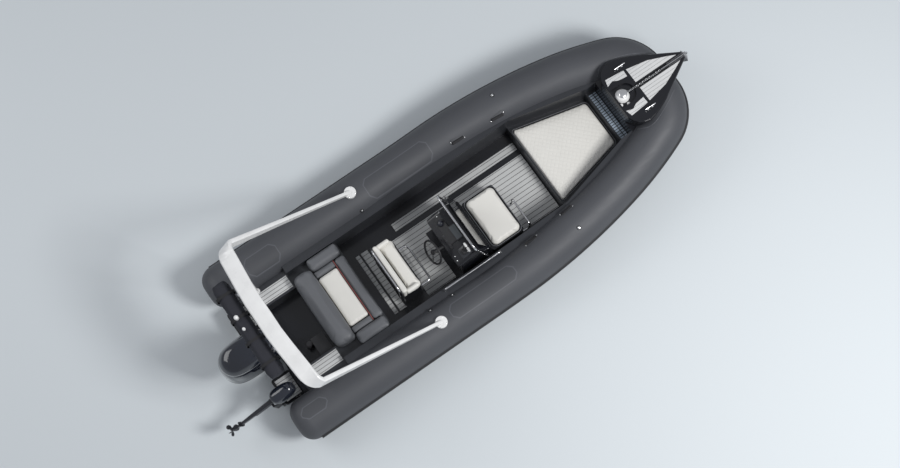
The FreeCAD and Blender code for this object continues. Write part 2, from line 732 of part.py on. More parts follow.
pad_plan = both_sides([(pad_at, dim("pad_half_width_aft")), (step_at - 15, dim("pad_half_width_fore"))])
made("sunpad_cushion", column(pad_plan, box_top, box_top + dim("cushion_thickness")))


# Console, with the seat on its front

console_low = dim("console_centre") - dim("console_width") / 2
console_aft, console_fore = dim("console_aft"), dim("console_aft") + dim("console_length")
knee, shoulder = deck + dim("console_knee"), deck + dim("console_shoulder")
crown = deck + dim("console_crown")
CONSOLE_SIDE = [
    (console_aft, deck), (console_aft, knee), (console_aft - dim("console_overhang"), shoulder),
    (console_aft + 130, crown - 15), (console_aft + 300, crown), (console_fore - 60, crown - 160),
    (console_fore, deck + dim("front_seat_height")), (console_fore, deck),
]
console = prism([(x, console_low, z) for x, z in CONSOLE_SIDE], (0, dim("console_width"), 0))
rims = [edge for edge in console.Edges if abs(edge.BoundBox.YLength) < 0.01
        and edge.BoundBox.XMin < console_fore - 1 and edge.BoundBox.ZMax > deck + 1]
console_shape = console.makeFillet(40, rims).removeSplitter()
console_part = made("console", console_shape)

at_seat = "console_aft + console_length", "console_centre - console_width / 2"
front_seat_box = slab("front_seat_box", (*at_seat, "deck_height"),
                      ("front_seat_length", "console_width", "front_seat_height"), corner=30)
slab("front_seat_cushion", (f"{at_seat[0]} + 5", at_seat[1], "deck_height + front_seat_height"),
     ("front_seat_length - 5", "console_width", "cushion_thickness"), corner=60, crown=25)

hoop_x = console_aft + dim("hoop_ahead")
hoop_port, hoop_starboard = (dim("hoop_centre") + sign * dim("hoop_width") / 2 for sign in (1, -1))
hoop = bent_rail([
    (hoop_x, console_low + dim("console_width"), dim("hoop_foot")),
    (hoop_x, hoop_port, dim("hoop_foot")),
    (hoop_x - dim("hoop_rake"), hoop_port, dim("hoop_top")),
    (hoop_x - dim("hoop_rake"), hoop_starboard, dim("hoop_top")),
    (hoop_x, hoop_starboard, dim("hoop_foot")),
    (hoop_x, console_low, dim("hoop_foot")),
], [40, 90, 90, 40], dim("rail_radius"))
made("windscreen_hoop", hoop)

# The windscreen leans aft with the hoop, and its foot is let into the console
foot_x, top_x = hoop_x + 20, hoop_x + 20 - dim("screen_rake")
sheet_wall, sheet_foot, sheet_top = dim("screen_thickness"), dim("screen_foot"), dim("screen_top")
SCREEN = [
    (foot_x, sheet_foot), (top_x, sheet_top), (top_x + sheet_wall, sheet_top),
    (foot_x + sheet_wall, sheet_foot),
]
screen_low = dim("hoop_centre") - dim("screen_width") / 2
screen = prism([(x, screen_low, z) for x, z in SCREEN], (0, dim("screen_width"), 0))
made("windscreen", screen.cut([console_shape, hoop]))

# ahead of the console's aft face, above its shoulder
PANEL = [(20, 55), (130, 115), (145, 90), (35, 30)]
panel = prism([(console_aft + x, dim("console_centre") - 90, shoulder + z) for x, z in PANEL],
              (0, dim("panel_width"), 0))
made("instrument_panel", panel.cut(console_shape))

lever_at = Vector(console_aft + 80, console_low + 100, shoulder + 90)
lever_foot = block((lever_at.x - 40, lever_at.y - 30, shoulder + 40),
                   (lever_at.x + 50, lever_at.y + 30, shoulder + 130))
lever = Part.makeCylinder(dim("throttle_radius"), 120, lever_at)
grip = Part.makeCylinder(dim("throttle_radius") * 1.6, 90, lever_at + Vector(0, -45, 120), Vector(0, 1, 0))
made("throttle", lever.fuse([lever_foot, grip]).cut(console_shape))


# Steering wheel, turned about the axis of its column

def wheel_shape():
    """Rim, three spokes and hub about the local Z axis."""
    rim = Part.makeTorus(dim("wheel_radius"), dim("wheel_grip"))
    hub = Part.makeCylinder(34, 40, Vector(0, 0, -30))
    spokes = []
    for spoke in range(3):
        arm = Part.makeBox(dim("wheel_radius"), 30, 7, Vector(0, -15, -4))
        arm.rotate(Vector(0, 0, 0), Vector(0, 0, 1), 60 + 120 * spoke)
        spokes.append(arm)
    return rim.fuse(hub).fuse(spokes).removeSplitter()


wheel_axis = Rotation(Vector(0, 1, 0), dim("wheel_tilt") - 90)
wheel_centre = Vector(dim("wheel_station"), dim("wheel_side"), dim("wheel_height"))
wheel = made("steering_wheel", wheel_shape())
wheel.Placement = Placement(wheel_centre, wheel_axis)
stem = Part.makeCylinder(26, 300, Vector(0, 0, -30.3 - 300))
stem.Placement = Placement(wheel_centre, wheel_axis)
made("steering_column", stem.cut(console_shape))


# Helm seat

seat_low, seat_deck = "helm_seat_centre - helm_seat_width / 2", "deck_height + helm_seat_height"
box_width = "helm_seat_width - helm_seat_overhang * 2"
helm_seat_box = slab("helm_seat_box",
                     ("helm_seat_station", f"{seat_low} + helm_seat_overhang", "deck_height"),
                     ("helm_seat_length", box_width, "helm_seat_height"), corner=30)
slab("helm_seat_cushion", ("helm_seat_station + 70", seat_low, seat_deck),
     ("helm_seat_length - 70", "helm_seat_width", "cushion_thickness + 20"), corner=50, crown=30)
slab("helm_seat_back", ("helm_seat_station - 20", seat_low, seat_deck),
     ("helm_back_length", "helm_seat_width", "helm_back_height"), corner=30, crown=20)
helm_x, helm_y, helm_z = dim("helm_seat_station"), dim("helm_seat_width") / 2, deck + dim("helm_seat_height")
rail_x = helm_x - 20 - dim("rail_radius") - dim("seat_gap")
rail_top, rail_foot = helm_z + dim("helm_rail_rise"), helm_z - 120
rail_port, rail_starboard = (dim("helm_seat_centre") + sign * (helm_y - 60) for sign in (1, -1))
back_rail = bent_rail([
    (helm_x, rail_port, rail_foot),
    (rail_x, rail_port, rail_foot),
    (rail_x, rail_port, rail_top),
    (rail_x, rail_starboard, rail_top),
    (rail_x, rail_starboard, rail_foot),
    (helm_x, rail_starboard, rail_foot),
], [30, 80, 80, 30], dim("rail_radius"))
bar_root = helm_x + dim("helm_seat_length")
bar_front = bar_root + dim("foot_bar_reach")
bar_port, bar_starboard = (dim("helm_seat_centre") + sign * (helm_y - 100) for sign in (1, -1))
bar_level = dim("foot_bar_height")
foot_bar = bent_rail([
    (bar_root, bar_port, bar_level), (bar_front, bar_port, bar_level),
    (bar_front, bar_starboard, bar_level), (bar_root, bar_starboard, bar_level),
], [60, 60], dim("rail_radius"))
made("helm_seat_rails", Part.makeCompound([back_rail, foot_bar]))
ON_DECK = [console_part, front_seat_box, helm_seat_box]


# Aft bench

on_bench = "deck_height + bench_height"
slab("bench_box", ("well_front", "-cockpit_half_width", "deck_height"),
     ("bench_length", "cockpit_half_width * 2", "bench_height"))
slab("bench_backrest", ("well_front", "-bench_back_width / 2", on_bench),
     ("bench_back_length", "bench_back_width", "bench_back_height"), corner=60, crown=40)
seat_aft = "well_front + bench_back_length + 0.5"
slab("bench_seat", (seat_aft, "-bench_seat_width / 2", on_bench),
     ("bench_length - bench_back_length", "bench_seat_width", "cushion_thickness"), corner=20, crown=20)
bolsters = []
bolster_width = "cockpit_half_width - bench_seat_width / 2 - 2"
for side, low in (("port", "bench_seat_width / 2 + 0.5"), ("starboard", "-cockpit_half_width + 1.5")):
    bolsters.append(slab(f"bolster_{side}", (seat_aft, low, on_bench),
                         ("bench_length - bench_back_length", bolster_width, "bolster_height"),
                         corner=30, crown=30))
pair("bench_bolsters", bolsters)


# Arch: one closed loft along a leg, round its corner and along the beam

def arch_sections():
    """Rounded rectangles across the arch's line, from the port foot to the middle of the beam."""
    foot_z = dim("tube_height") + dim("tube_radius") + dim("arch_foot_rise")
    top, half = dim("arch_height"), dim("arch_half_width")
    span, sweep = dim("tube_half_span"), dim("arch_sweep")
    chord, depth = dim("arch_half_chord") * 2, dim("arch_depth")
    foot_point = Vector(dim("arch_foot_station"), span, foot_z)
    leg_end = Vector(dim("arch_station") + 90, span - 28, top - 125)
    beam_start = Vector(dim("arch_station") - 6, half - 130, top + 4)
    corner = Vector(dim("arch_station") + 12, half + 52, top - 6)
    middle = Vector(dim("arch_station") - sweep, 0, top + 20)
    quarter = Vector(dim("arch_station") - sweep * 0.76, half * 0.48, top + 15)
    leg_steps = [(0.0, 60, 46), (0.3, 78, 48), (0.55, 105, 52), (0.8, 150, 58), (1.0, 190, 64)]
    line = [(foot_point + (leg_end - foot_point) * share, long, thick) for share, long, thick in leg_steps]
    bend = [0.18, 0.36, 0.54, 0.72, 0.88]
    for t in bend:
        point = leg_end * (1 - t) ** 2 + corner * (2 * t * (1 - t)) + beam_start * t ** 2
        line.append((point, 190 + (chord - 190) * t, 64 + (depth - 64) * t))
    line.append((beam_start, chord, depth))
    for t in (0.3, 0.6):
        line.append((beam_start + (quarter - beam_start) * t, chord, depth))
    line.append((quarter, chord, depth))
    bowed = quarter + (middle - quarter) * 0.5 + Vector(-8, 0, 1)
    line.append((bowed, chord, depth))
    line.append((middle, chord, depth))
    points = [point for point, long, thick in line]
    leg_chord = (leg_end - foot_point).cross(Vector(0, 1, 0)).normalize()
    outlines = []
    for number, (point, long, thick) in enumerate(line):
        before, after = points[max(number - 1, 0)], points[min(number + 1, len(points) - 1)]
        ahead = (after - before).normalize() if number < len(points) - 1 else Vector(0, -1, 0)
        share = min(1.0, max(0.0, (number - 4) / 6))
        wanted = (leg_chord * (1 - share) + Vector(-1, 0, 0) * share).normalize()
        along = (wanted - ahead * wanted.dot(ahead)).normalize()
        across = ahead.cross(along)
        if across.z < 0 or (number < 5 and across.y < 0):
            across = across * -1
        corners = [along * (u * long / 2) + across * (v * thick / 2) for u, v in CHAMFERED]
        outlines.append([tuple(point + corner_at) for corner_at in corners])
    return outlines


# share of half the chord, share of half the thickness
CHAMFERED = [(1.0, 0.35), (0.955, 0.75), (0.86, 1.0), (-0.86, 1.0), (-0.955, 0.75), (-1.0, 0.35),
             (-1.0, -0.35), (-0.955, -0.75), (-0.86, -1.0), (0.86, -1.0), (0.955, -0.75), (1.0, -0.35)]
half_arch = lofted(arch_sections())
made("arch", half_arch.fuse(mirrored(half_arch)).removeSplitter())

tube_top = dim("tube_height") + dim("tube_radius")
foot_at = Vector(dim("arch_foot_station"), dim("tube_half_span"), tube_top - 32)
foot = Part.makeCylinder(dim("arch_foot_radius"), 60, foot_at).cut(TUBE_SPACE)
post_at = Vector(dim("arch_station") + 30, dim("post_side"), transom_top)
post = Part.makeCylinder(dim("post_radius"), dim("arch_height") - transom_top, post_at)
foot, post = foot.cut(half_arch), post.cut(half_arch).Solids[0]
posts = [post, mirrored(post)]
made("arch_supports", Part.makeCompound([foot, mirrored(foot)] + posts))

boot_fore = dim("boot_station") + dim("boot_width")
slab("canopy_boot", ("boot_station", "-boot_length / 2 + 20", "arch_height - 170 - boot_depth / 2"),
     ("boot_width", "boot_length", "boot_depth"), corner=70, crown=60)
brackets = []
for y in (-420, 0, 420):
    strap = block((boot_fore + dim("seat_gap"), y - 20, dim("arch_height") - 220),
                  (boot_fore + 70, y + 20, dim("arch_height") + 10))
    brackets.append(strap.cut([half_arch, mirrored(half_arch)]))
made("boot_brackets", Part.makeCompound(brackets))
lamp_at = "boot_station + 100", "200"
joined("stern_light", [bar((*lamp_at, "arch_height - 70"), "lamp_radius", "60"),
                       ball((*lamp_at, "arch_height - 10"), "lamp_radius")])

# Outboard motors: one way of making both, about a tilt axis at the local origin

def rounded_plan(x0, x1, half, level, nose=0.35):
    """An eight-cornered plan, blunt aft and narrowing forward."""
    length = x1 - x0
    port = [(x0, half * 0.45), (x0 + length * 0.14, half * 0.93), (x0 + length * 0.55, half),
            (x0 + length * 0.86, half * 0.84), (x1, half * nose)]
    return [(x, y, level) for x, y in port] + [(x, -y, level) for x, y in reversed(port)]


def smooth(points):
    """A closed smooth wire through points."""
    curve = Part.BSplineCurve()
    curve.interpolate(Points=[Vector(*point) for point in points], PeriodicFlag=True)
    return Part.Wire([curve.toShape()])


# share of a cowl's length from aft, share of its half width
COWL_PLAN = [
    (0.0, 0.0), (0.025, 0.40), (0.12, 0.79), (0.31, 0.985), (0.54, 1.0), (0.76, 0.90), (0.92, 0.63),
    (0.985, 0.32), (1.0, 0.0),
]
# share of the cowl's height, of its length aft and fore, and of its width
COWL_LEVELS = [
    (0.0, 0.94, 0.11, 0.68),
    (0.07, 0.98, 0.04, 0.86),
    (0.20, 1.0, 0.0, 0.98),
    (0.40, 1.0, 0.0, 1.0),
    (0.60, 0.99, 0.015, 0.97),
    (0.76, 0.965, 0.055, 0.90),
    (0.88, 0.925, 0.115, 0.79),
    (0.95, 0.88, 0.17, 0.68),
    (0.985, 0.83, 0.225, 0.56),
    (1.0, 0.77, 0.28, 0.44),
]


def outboard(name, pivot, side, tilt, leg_top, leg_half, blades):
    """Swivel, leg, cowl and propeller of one motor."""
    pin, back = dim(f"{name}_pin"), dim(f"{name}_steer_back")
    lead, length = dim(f"{name}_cowl_lead"), dim(f"{name}_cowl_length")
    width, height, drop = dim(f"{name}_cowl_width") / 2, dim(f"{name}_cowl_height"), dim(f"{name}_drop")
    screw = dim(f"{name}_propeller_radius")
    king = pin * 1.1
    bottom = -drop * 0.42
    seat = Placement(Vector(pivot[0], side, pivot[1]), Rotation(Vector(0, 1, 0), tilt))
    tube, top = king * 2, pin * 2.2
    swivel = Part.makeCylinder(tube, top - bottom, Vector(-back, 0, bottom))
    swivel = swivel.fuse(block((-back, -tube, bottom), (0, tube, pin * 1.5)))
    barrel_half, play = leg_half * 1.05, dim("running_gap")
    barrel = Part.makeCylinder(pin * 1.9, barrel_half * 2, Vector(0, -barrel_half, 0), Vector(0, 1, 0))
    pin_bore = Part.makeCylinder(pin + play, FAR, Vector(0, -FAR / 2, 0), Vector(0, 1, 0))
    king_bore = Part.makeCylinder(king + play, FAR, Vector(-back, 0, -FAR / 2))
    swivel = swivel.fuse(barrel).cut([pin_bore, king_bore])
    yoke = leg_top
    kingpin = Part.makeCylinder(king, yoke - bottom + pin * 1.4, Vector(-back, 0, bottom - pin * 1.5))
    yoke_aft, yoke_half = -back - tube - leg_half, leg_half * 0.5
    upper_yoke = block((yoke_aft, -yoke_half, top + 1), (-back + king * 1.5, yoke_half, yoke))
    plate = -drop + screw * 1.1 + 6
    shaft = lofted([
        rounded_plan(-back - tube - leg_half * 3.4, -back - king * 0.4, leg_half * 0.95, yoke, 0.6),
        rounded_plan(-back - tube - leg_half * 3.0, -back - king * 0.4, leg_half * 0.8, bottom, 0.6),
        rounded_plan(-back - tube - leg_half * 3.0, -back - king * 0.4, leg_half * 0.55, plate, 0.5),
        rounded_plan(-back - tube - leg_half * 2.6, -back - king * 0.4, leg_half * 0.35, -drop, 0.4),
    ])
    shaft = shaft.cut(Part.makeCylinder(tube + 6, top + 1 - bottom + 1, Vector(-back, 0, bottom - 1)))
    mid_yoke = block((yoke_aft, -leg_half * 0.7, bottom - pin * 1.5),
                     (-back + king * 1.8, leg_half * 0.7, bottom - 1))
    plane_aft, plane_fore = -back - leg_half * 5.2, -back + leg_half * 0.7
    plane = lofted([rounded_plan(plane_aft, plane_fore, leg_half * 1.15, plate + rise) for rise in (-4, 4)])
    gear_aft, gear_fore, gear_r = -back - leg_half * 4.0, -back + leg_half * 1.6, screw * 0.34
    belly = [
        (gear_aft, 0.0), (gear_aft, 0.9), (gear_fore - gear_r * 2.6, 1.0), (gear_fore - gear_r * 1.3, 0.86),
        (gear_fore - gear_r * 0.4, 0.5), (gear_fore, 0.1), (gear_fore, 0.0),
    ]
    torpedo = Part.Face(polygon([(x, -gear_r * share, -drop) for x, share in belly]))
    torpedo = torpedo.revolve(Vector(0, 0, -drop), Vector(1, 0, 0), 360)
    fin = [(gear_aft + gear_r * 2.2, -drop), (gear_fore - gear_r * 2.2, -drop),
           (gear_aft + gear_r * 3.4, -drop - screw * 1.06), (gear_aft + gear_r * 1.2, -drop - screw * 1.08)]
    skeg = prism([(x, -screw * 0.03, z) for x, z in fin], (0, screw * 0.06, 0))
    hub_x, hub_length, stub = gear_aft - dim("seat_gap"), gear_r * 2.2, gear_r * 0.22
    stub_root = Vector(gear_aft + 1, 0, -drop)
    screw_shaft = Part.makeCylinder(stub, hub_length + stub, stub_root, Vector(-1, 0, 0))
    leg = shaft.fuse([kingpin, upper_yoke, mid_yoke, plane, torpedo, skeg, screw_shaft])
    leg_part = made(f"{name}_leg", leg.removeSplitter())
    swivel_part = made(f"{name}_swivel", swivel)
    rings = []
    for level, aft, fore, share in COWL_LEVELS:
        x0, z = lead - length * aft, yoke + height * level
        port = [(x0 + length * (aft - fore) * u, width * share * v, z) for u, v in COWL_PLAN]
        rings.append(smooth(port + [(x, -y, level_z) for x, y, level_z in reversed(port[1:-1])]))
    cowl = Part.makeLoft(rings, True, False)
    cowl_part = made(f"{name}_cowl", cowl)
    hub = Part.makeCone(gear_r * 0.88, gear_r * 0.62, hub_length, Vector(hub_x, 0, -drop), Vector(-1, 0, 0))
    solids = [hub]
    for number in range(blades):
        sections = []
        for share, chord, pitch in ((0.18, 0.42, 58), (0.55, 0.72, 34), (0.85, 0.60, 24), (1.0, 0.22, 20)):
            radius = screw * share
            half, angle = screw * chord / 2, math.radians(pitch)
            thick = max(2.0, screw * 0.03 * (1.3 - share))
            a = Vector(-math.sin(angle), math.cos(angle), 0) * half
            b = Vector(math.cos(angle), math.sin(angle), 0) * thick
            c = Vector(hub_x - hub_length * 0.5, 0, radius - drop)
            sections.append([tuple(c + a), tuple(c + b), tuple(c - a), tuple(c - b)])
        blade = lofted(sections)
        blade.rotate(Vector(0, 0, -drop), Vector(1, 0, 0), 360 / blades * number)
        solids.append(blade)
    bore = Part.makeCylinder(stub + dim("running_gap"), FAR, Vector(gear_aft, 0, -drop), Vector(-1, 0, 0))
    propeller_part = made(f"{name}_propeller", solids[0].fuse(solids[1:]).cut(bore))
    for part in (leg_part, swivel_part, cowl_part, propeller_part):
        part.Placement = seat


outboard("motor", (dim("motor_pivot_station"), dim("motor_pivot_height")), 0, 0, 90, 80, 4)
outboard("kicker", (dim("kicker_pivot_station"), dim("kicker_pivot_height")), dim("kicker_side"),
         dim("kicker_stowed"), 95, 34, 3)

pivot = Vector(dim("motor_pivot_station"), 0, dim("motor_pivot_height"))
clamp = Part.makeCylinder(dim("motor_pin"), 320, pivot + Vector(0, -160, 0), Vector(0, 1, 0))
for sign in (1, -1):
    y = sorted((sign * 90, sign * 125))
    side = [
        (pivot.x - 34, pivot.z), (pivot.x, pivot.z + 34), (transom_at, pivot.z + 20), (transom_at, -150),
        (pivot.x + 40, -150),
    ]
    cheek = prism([(x, y[0], z) for x, z in side], (0, y[1] - y[0], 0))
    eye = Part.makeCylinder(34, y[1] - y[0], Vector(pivot.x, y[0], pivot.z), Vector(0, 1, 0))
    clamp = clamp.fuse([cheek, eye])
made("motor_clamp", clamp)

pivot = Vector(dim("kicker_pivot_station"), dim("kicker_side"), dim("kicker_pivot_height"))
clamp = Part.makeCylinder(dim("kicker_pin"), 130, pivot + Vector(0, -65, 0), Vector(0, 1, 0))
plate_x = dim("transom_station") - dim("platform_length")
for sign in (1, -1):
    y = sorted((pivot.y + sign * 42, pivot.y + sign * 56))
    side = [
        (pivot.x - 16, pivot.z), (pivot.x + 6, pivot.z + 14), (plate_x - 30, dim("platform_height")),
        (plate_x - 30, deck), (pivot.x + 20, deck),
    ]
    cheek = prism([(x, y[0], z) for x, z in side], (0, y[1] - y[0], 0))
    eye = Part.makeCylinder(16, y[1] - y[0], Vector(pivot.x, y[0], pivot.z), Vector(0, 1, 0))
    clamp = clamp.fuse([cheek, eye])
back_plate = block((plate_x - 40, pivot.y - 80, 110), (plate_x, pivot.y + 80, dim("platform_height")))
clamp = clamp.fuse(back_plate)
made("kicker_bracket", clamp)


# Deck mats, cut round what stands on the deck

mat_top, margin = deck + dim("mat_thickness"), dim("mat_margin")
mat_fore = pad_at - margin
bench_fore = well_front + dim("bench_length")
# from aft to fore, from starboard to port
MAT_ROWS = [
    (console_aft - 410, mat_fore, half_in * 0.6, half_in * 0.77),
    (console_aft - 550, mat_fore, -half_in * 0.84, half_in * 0.48),
    (bench_fore + 130, bench_fore + 190, -half_in * 0.77, half_in * 0.62),
    (bench_fore + 220, helm_x - 12, -half_in * 0.77, half_in * 0.62),
]
footprints = []
for standing in ON_DECK:
    foot_box = standing.Shape.BoundBox
    footprints.append(block((foot_box.XMin - margin, foot_box.YMin - margin, deck - 1),
                            (foot_box.XMax + margin, foot_box.YMax + margin, mat_top + 1)))
mats = [block((x0, y0, deck), (x1, y1, mat_top)).cut(footprints) for x0, x1, y0, y1 in MAT_ROWS]
step_mat = column([(step_at + margin, -half_step + margin * 2), (nose_at - 8, -half_step + margin * 2),
                   (nose_at - 8, half_step - margin * 2), (step_at + margin, half_step - margin * 2)],
                  step_top, step_top + dim("mat_thickness"))
mats.append(step_mat)
platform_low, platform_aft = dim("platform_height"), transom_at - dim("platform_length")
platform_inner, platform_outer = dim("platform_inner"), dim("platform_inner") + dim("platform_width")
mat_wall = dim("mat_thickness")
for sign in (1, -1):
    y0, y1 = sorted((sign * (dim("well_half_width") + 30), sign * (half_in + 5)))
    mats.append(block((transom_at + 130, y0, transom_top), (well_front - 20, y1, transom_top + mat_wall)))
    y0, y1 = sorted((sign * (platform_inner + 40), sign * (platform_outer - 40)))
    mats.append(block((platform_aft + 40, y0, platform_low), (transom_at - 20, y1, platform_low + mat_wall)))
mats = [mat.cut(posts) for mat in mats]
made("deck_mats", Part.makeCompound([solid for mat in mats for solid in mat.Solids]))


# Gear in the motor well, rails, handles and cleats

well_side = "-well_half_width + 30"
joined("well_gear", [
    brick(("well_front - 230", well_side, "deck_height"), ("180", "260", "190")),
    brick(("well_front - 238", f"{well_side} - 8", "deck_height + 189"), ("196", "276", "26")),
    bar(("well_front - 290", "-well_half_width / 2", "deck_height"), "45", "210"),
    bar(("well_front - 290", "-well_half_width / 2", "deck_height + 209"), "32", "24"),
    brick(("well_front - 290", "-well_half_width / 2 - 20", "deck_height + 150"), ("80", "40", "30")),
])

rail_aft, rail_y, rail_level = console_aft - 370, -half_in - 40, dim("side_rail_height")
rail_fore = rail_aft + dim("side_rail_length")
side_rail = bent_rail([
    (rail_aft, rail_y, rail_level - 140), (rail_aft, rail_y, rail_level),
    (rail_fore, rail_y, rail_level), (rail_fore, rail_y, rail_level - 140),
], [40, 40], dim("rail_radius"))
made("side_rail", side_rail.cut(sides))

rail_back = console_fore + dim("front_seat_length")
rail_front, rail_high = rail_back + 105, dim("front_rail_height")
rail_low = rail_high - 210
rail_out, rail_in = console_low + 20, console_low + 20 + dim("front_rail_width")
front_rail = bent_rail([
    (rail_back, rail_out, rail_low), (rail_front, rail_out, rail_low), (rail_front, rail_out, rail_high),
    (rail_front, rail_in, rail_high), (rail_front, rail_in, rail_low), (rail_back, rail_in, rail_low),
], [40, 40, 40, 40], dim("rail_radius"))
made("front_rail", front_rail)

handle_lean, handle_length = 44, dim("handle_length")
handles = []
for station in (pad_at - 700, pad_at - 50):
    handle = Part.makeBox(handle_length, 40, 30, Vector(-handle_length / 2, -20, dim("tube_radius") - 8))
    ends = [edge for edge in handle.Edges
            if abs(edge.BoundBox.YLength - 40) < 0.01 and edge.BoundBox.ZMax > dim("tube_radius") + 21]
    handle = handle.makeFillet(14, ends)
    lean = Placement(Vector(0, 0, 0), Rotation(Vector(1, 0, 0), handle_lean))
    handle.Placement = axis_at(station).multiply(lean)
    handles += [handle, mirrored(handle)]
made("tube_handles", Part.makeCompound([handle.cut(TUBE_SPACE) for handle in handles]))

cleats = []
for side in ("cleat_side", "-cleat_side"):
    aft, rise = "nose_station + 240", "nose_top + 38"
    cleats.append(joined(f"cleat_{len(cleats)}", [
        bar((aft, side, rise), "cleat_radius", "cleat_length", axis="x"),
        bar((f"{aft} + cleat_length * 0.3", side, "nose_top"), "cleat_radius", "38"),
        bar((f"{aft} + cleat_length * 0.7", side, "nose_top"), "cleat_radius", "38"),
    ]))
pair("bow_cleats", cleats)


# Checks on every object, then one file for each sub-part

doc.recompute()
for item in doc.Objects:
    if "Invalid" in item.State or "Error" in item.State:
        raise RuntimeError(f"{item.Label} failed: {item.State}")
os.makedirs("parts", exist_ok=True)
for part in PARTS:
    if part.Shape.isNull() or not part.Shape.isValid():
        raise RuntimeError(f"{part.Label} has no valid shape")
    part.Shape.exportStep(f"parts/{part.Label}.step")
    print(f"{part.Label}: {len(part.Shape.Solids)} solid(s), {part.Shape.Volume / 1e9:.4f} cubic metres")
print(len(PARTS), "sub-parts")
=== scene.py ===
# %% [markdown]
# # A rigid inflatable boat, dressed over its solids
#
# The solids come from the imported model: tubes, hull, console, arch and motors,
# in metres, with +X to the bow, +Y to port and +Z up from the waterline.
# This script gives them their finishes, and makes the soft goods and the small
# pieces that a solid leaves out.

# %% Load the frame
import json
import math

import bpy
import numpy as np
from mathutils import Matrix, Vector


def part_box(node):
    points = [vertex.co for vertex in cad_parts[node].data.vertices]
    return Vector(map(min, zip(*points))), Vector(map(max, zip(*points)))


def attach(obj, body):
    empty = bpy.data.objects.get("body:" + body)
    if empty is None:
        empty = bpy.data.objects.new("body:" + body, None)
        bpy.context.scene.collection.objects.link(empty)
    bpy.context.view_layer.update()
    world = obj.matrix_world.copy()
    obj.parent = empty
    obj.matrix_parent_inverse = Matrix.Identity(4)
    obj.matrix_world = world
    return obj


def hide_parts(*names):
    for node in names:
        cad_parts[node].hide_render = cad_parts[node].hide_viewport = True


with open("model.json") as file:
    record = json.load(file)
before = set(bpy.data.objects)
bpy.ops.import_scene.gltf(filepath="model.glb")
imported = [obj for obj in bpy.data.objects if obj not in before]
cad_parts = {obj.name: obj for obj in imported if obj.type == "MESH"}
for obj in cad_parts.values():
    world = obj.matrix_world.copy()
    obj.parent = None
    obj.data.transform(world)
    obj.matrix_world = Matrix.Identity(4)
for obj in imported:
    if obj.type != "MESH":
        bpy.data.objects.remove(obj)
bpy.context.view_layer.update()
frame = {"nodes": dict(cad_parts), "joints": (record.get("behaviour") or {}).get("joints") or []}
NODES = frame["nodes"]

# %% [markdown]
# ## View
#
# The boat is seen from a camera high above it, a little to one side, so its
# keel line runs up to the right. The camera's directions are written as
# vectors, because an aim and a roll angle would hide how it is turned.

# %% Camera
CAMERA_PLACE = Vector((0.905, -4.187, 19.859))
CAMERA_RIGHT = Vector((0.82066, -0.57101, -0.02164))
CAMERA_UP = Vector((0.55942, 0.79512, 0.23414))
PHOTO_WIDTH = 900
FOCAL_PIXELS = 1432.9
SENSOR_WIDTH = 36.0


def add_camera():
    """A camera whose picture spans PHOTO_WIDTH pixels at its focal length."""
    bpy.ops.object.camera_add(location=CAMERA_PLACE)
    camera = bpy.context.object
    back = CAMERA_RIGHT.cross(CAMERA_UP).normalized()
    turn = Matrix((CAMERA_RIGHT, CAMERA_UP, back)).transposed()
    camera.matrix_world = Matrix.Translation(CAMERA_PLACE) @ turn.to_4x4()
    camera.data.sensor_width = SENSOR_WIDTH
    camera.data.lens = FOCAL_PIXELS / PHOTO_WIDTH * SENSOR_WIDTH
    camera.data.clip_end = 100
    bpy.context.scene.camera = camera
    print("lens:", round(camera.data.lens, 1), "mm")


add_camera()

# %% [markdown]
# ## Maths on sockets
#
# A pattern reads better as an expression than as a list of nodes and links.
# One small class wraps a socket, so that `0.46 + scuffs * 0.2` adds its Math
# nodes by itself. Every other node comes from one method.

# %% Sockets that do arithmetic
class Wire:
    """A node's output that can be added, subtracted and multiplied."""

    def __init__(self, finish, socket):
        self.finish = finish
        self.socket = socket

    def maths(self, operation, *values):
        return self.finish.node("ShaderNodeMath", {"operation": operation}, dict(enumerate(values)))

    def __add__(self, other):
        return self.maths("ADD", self, other)

    def __radd__(self, other):
        return self.maths("ADD", other, self)

    def __sub__(self, other):
        return self.maths("SUBTRACT", self, other)

    def __mul__(self, other):
        return self.maths("MULTIPLY", self, other)

    def to_line(self, spacing):
        """Distance to the nearest of many parallel lines, spacing apart."""
        return self.maths("PINGPONG", self, spacing / 2)


MIX_FACTOR, MIX_FIRST, MIX_SECOND = 0, 6, 7
MIX_COLOR_RESULT = 2


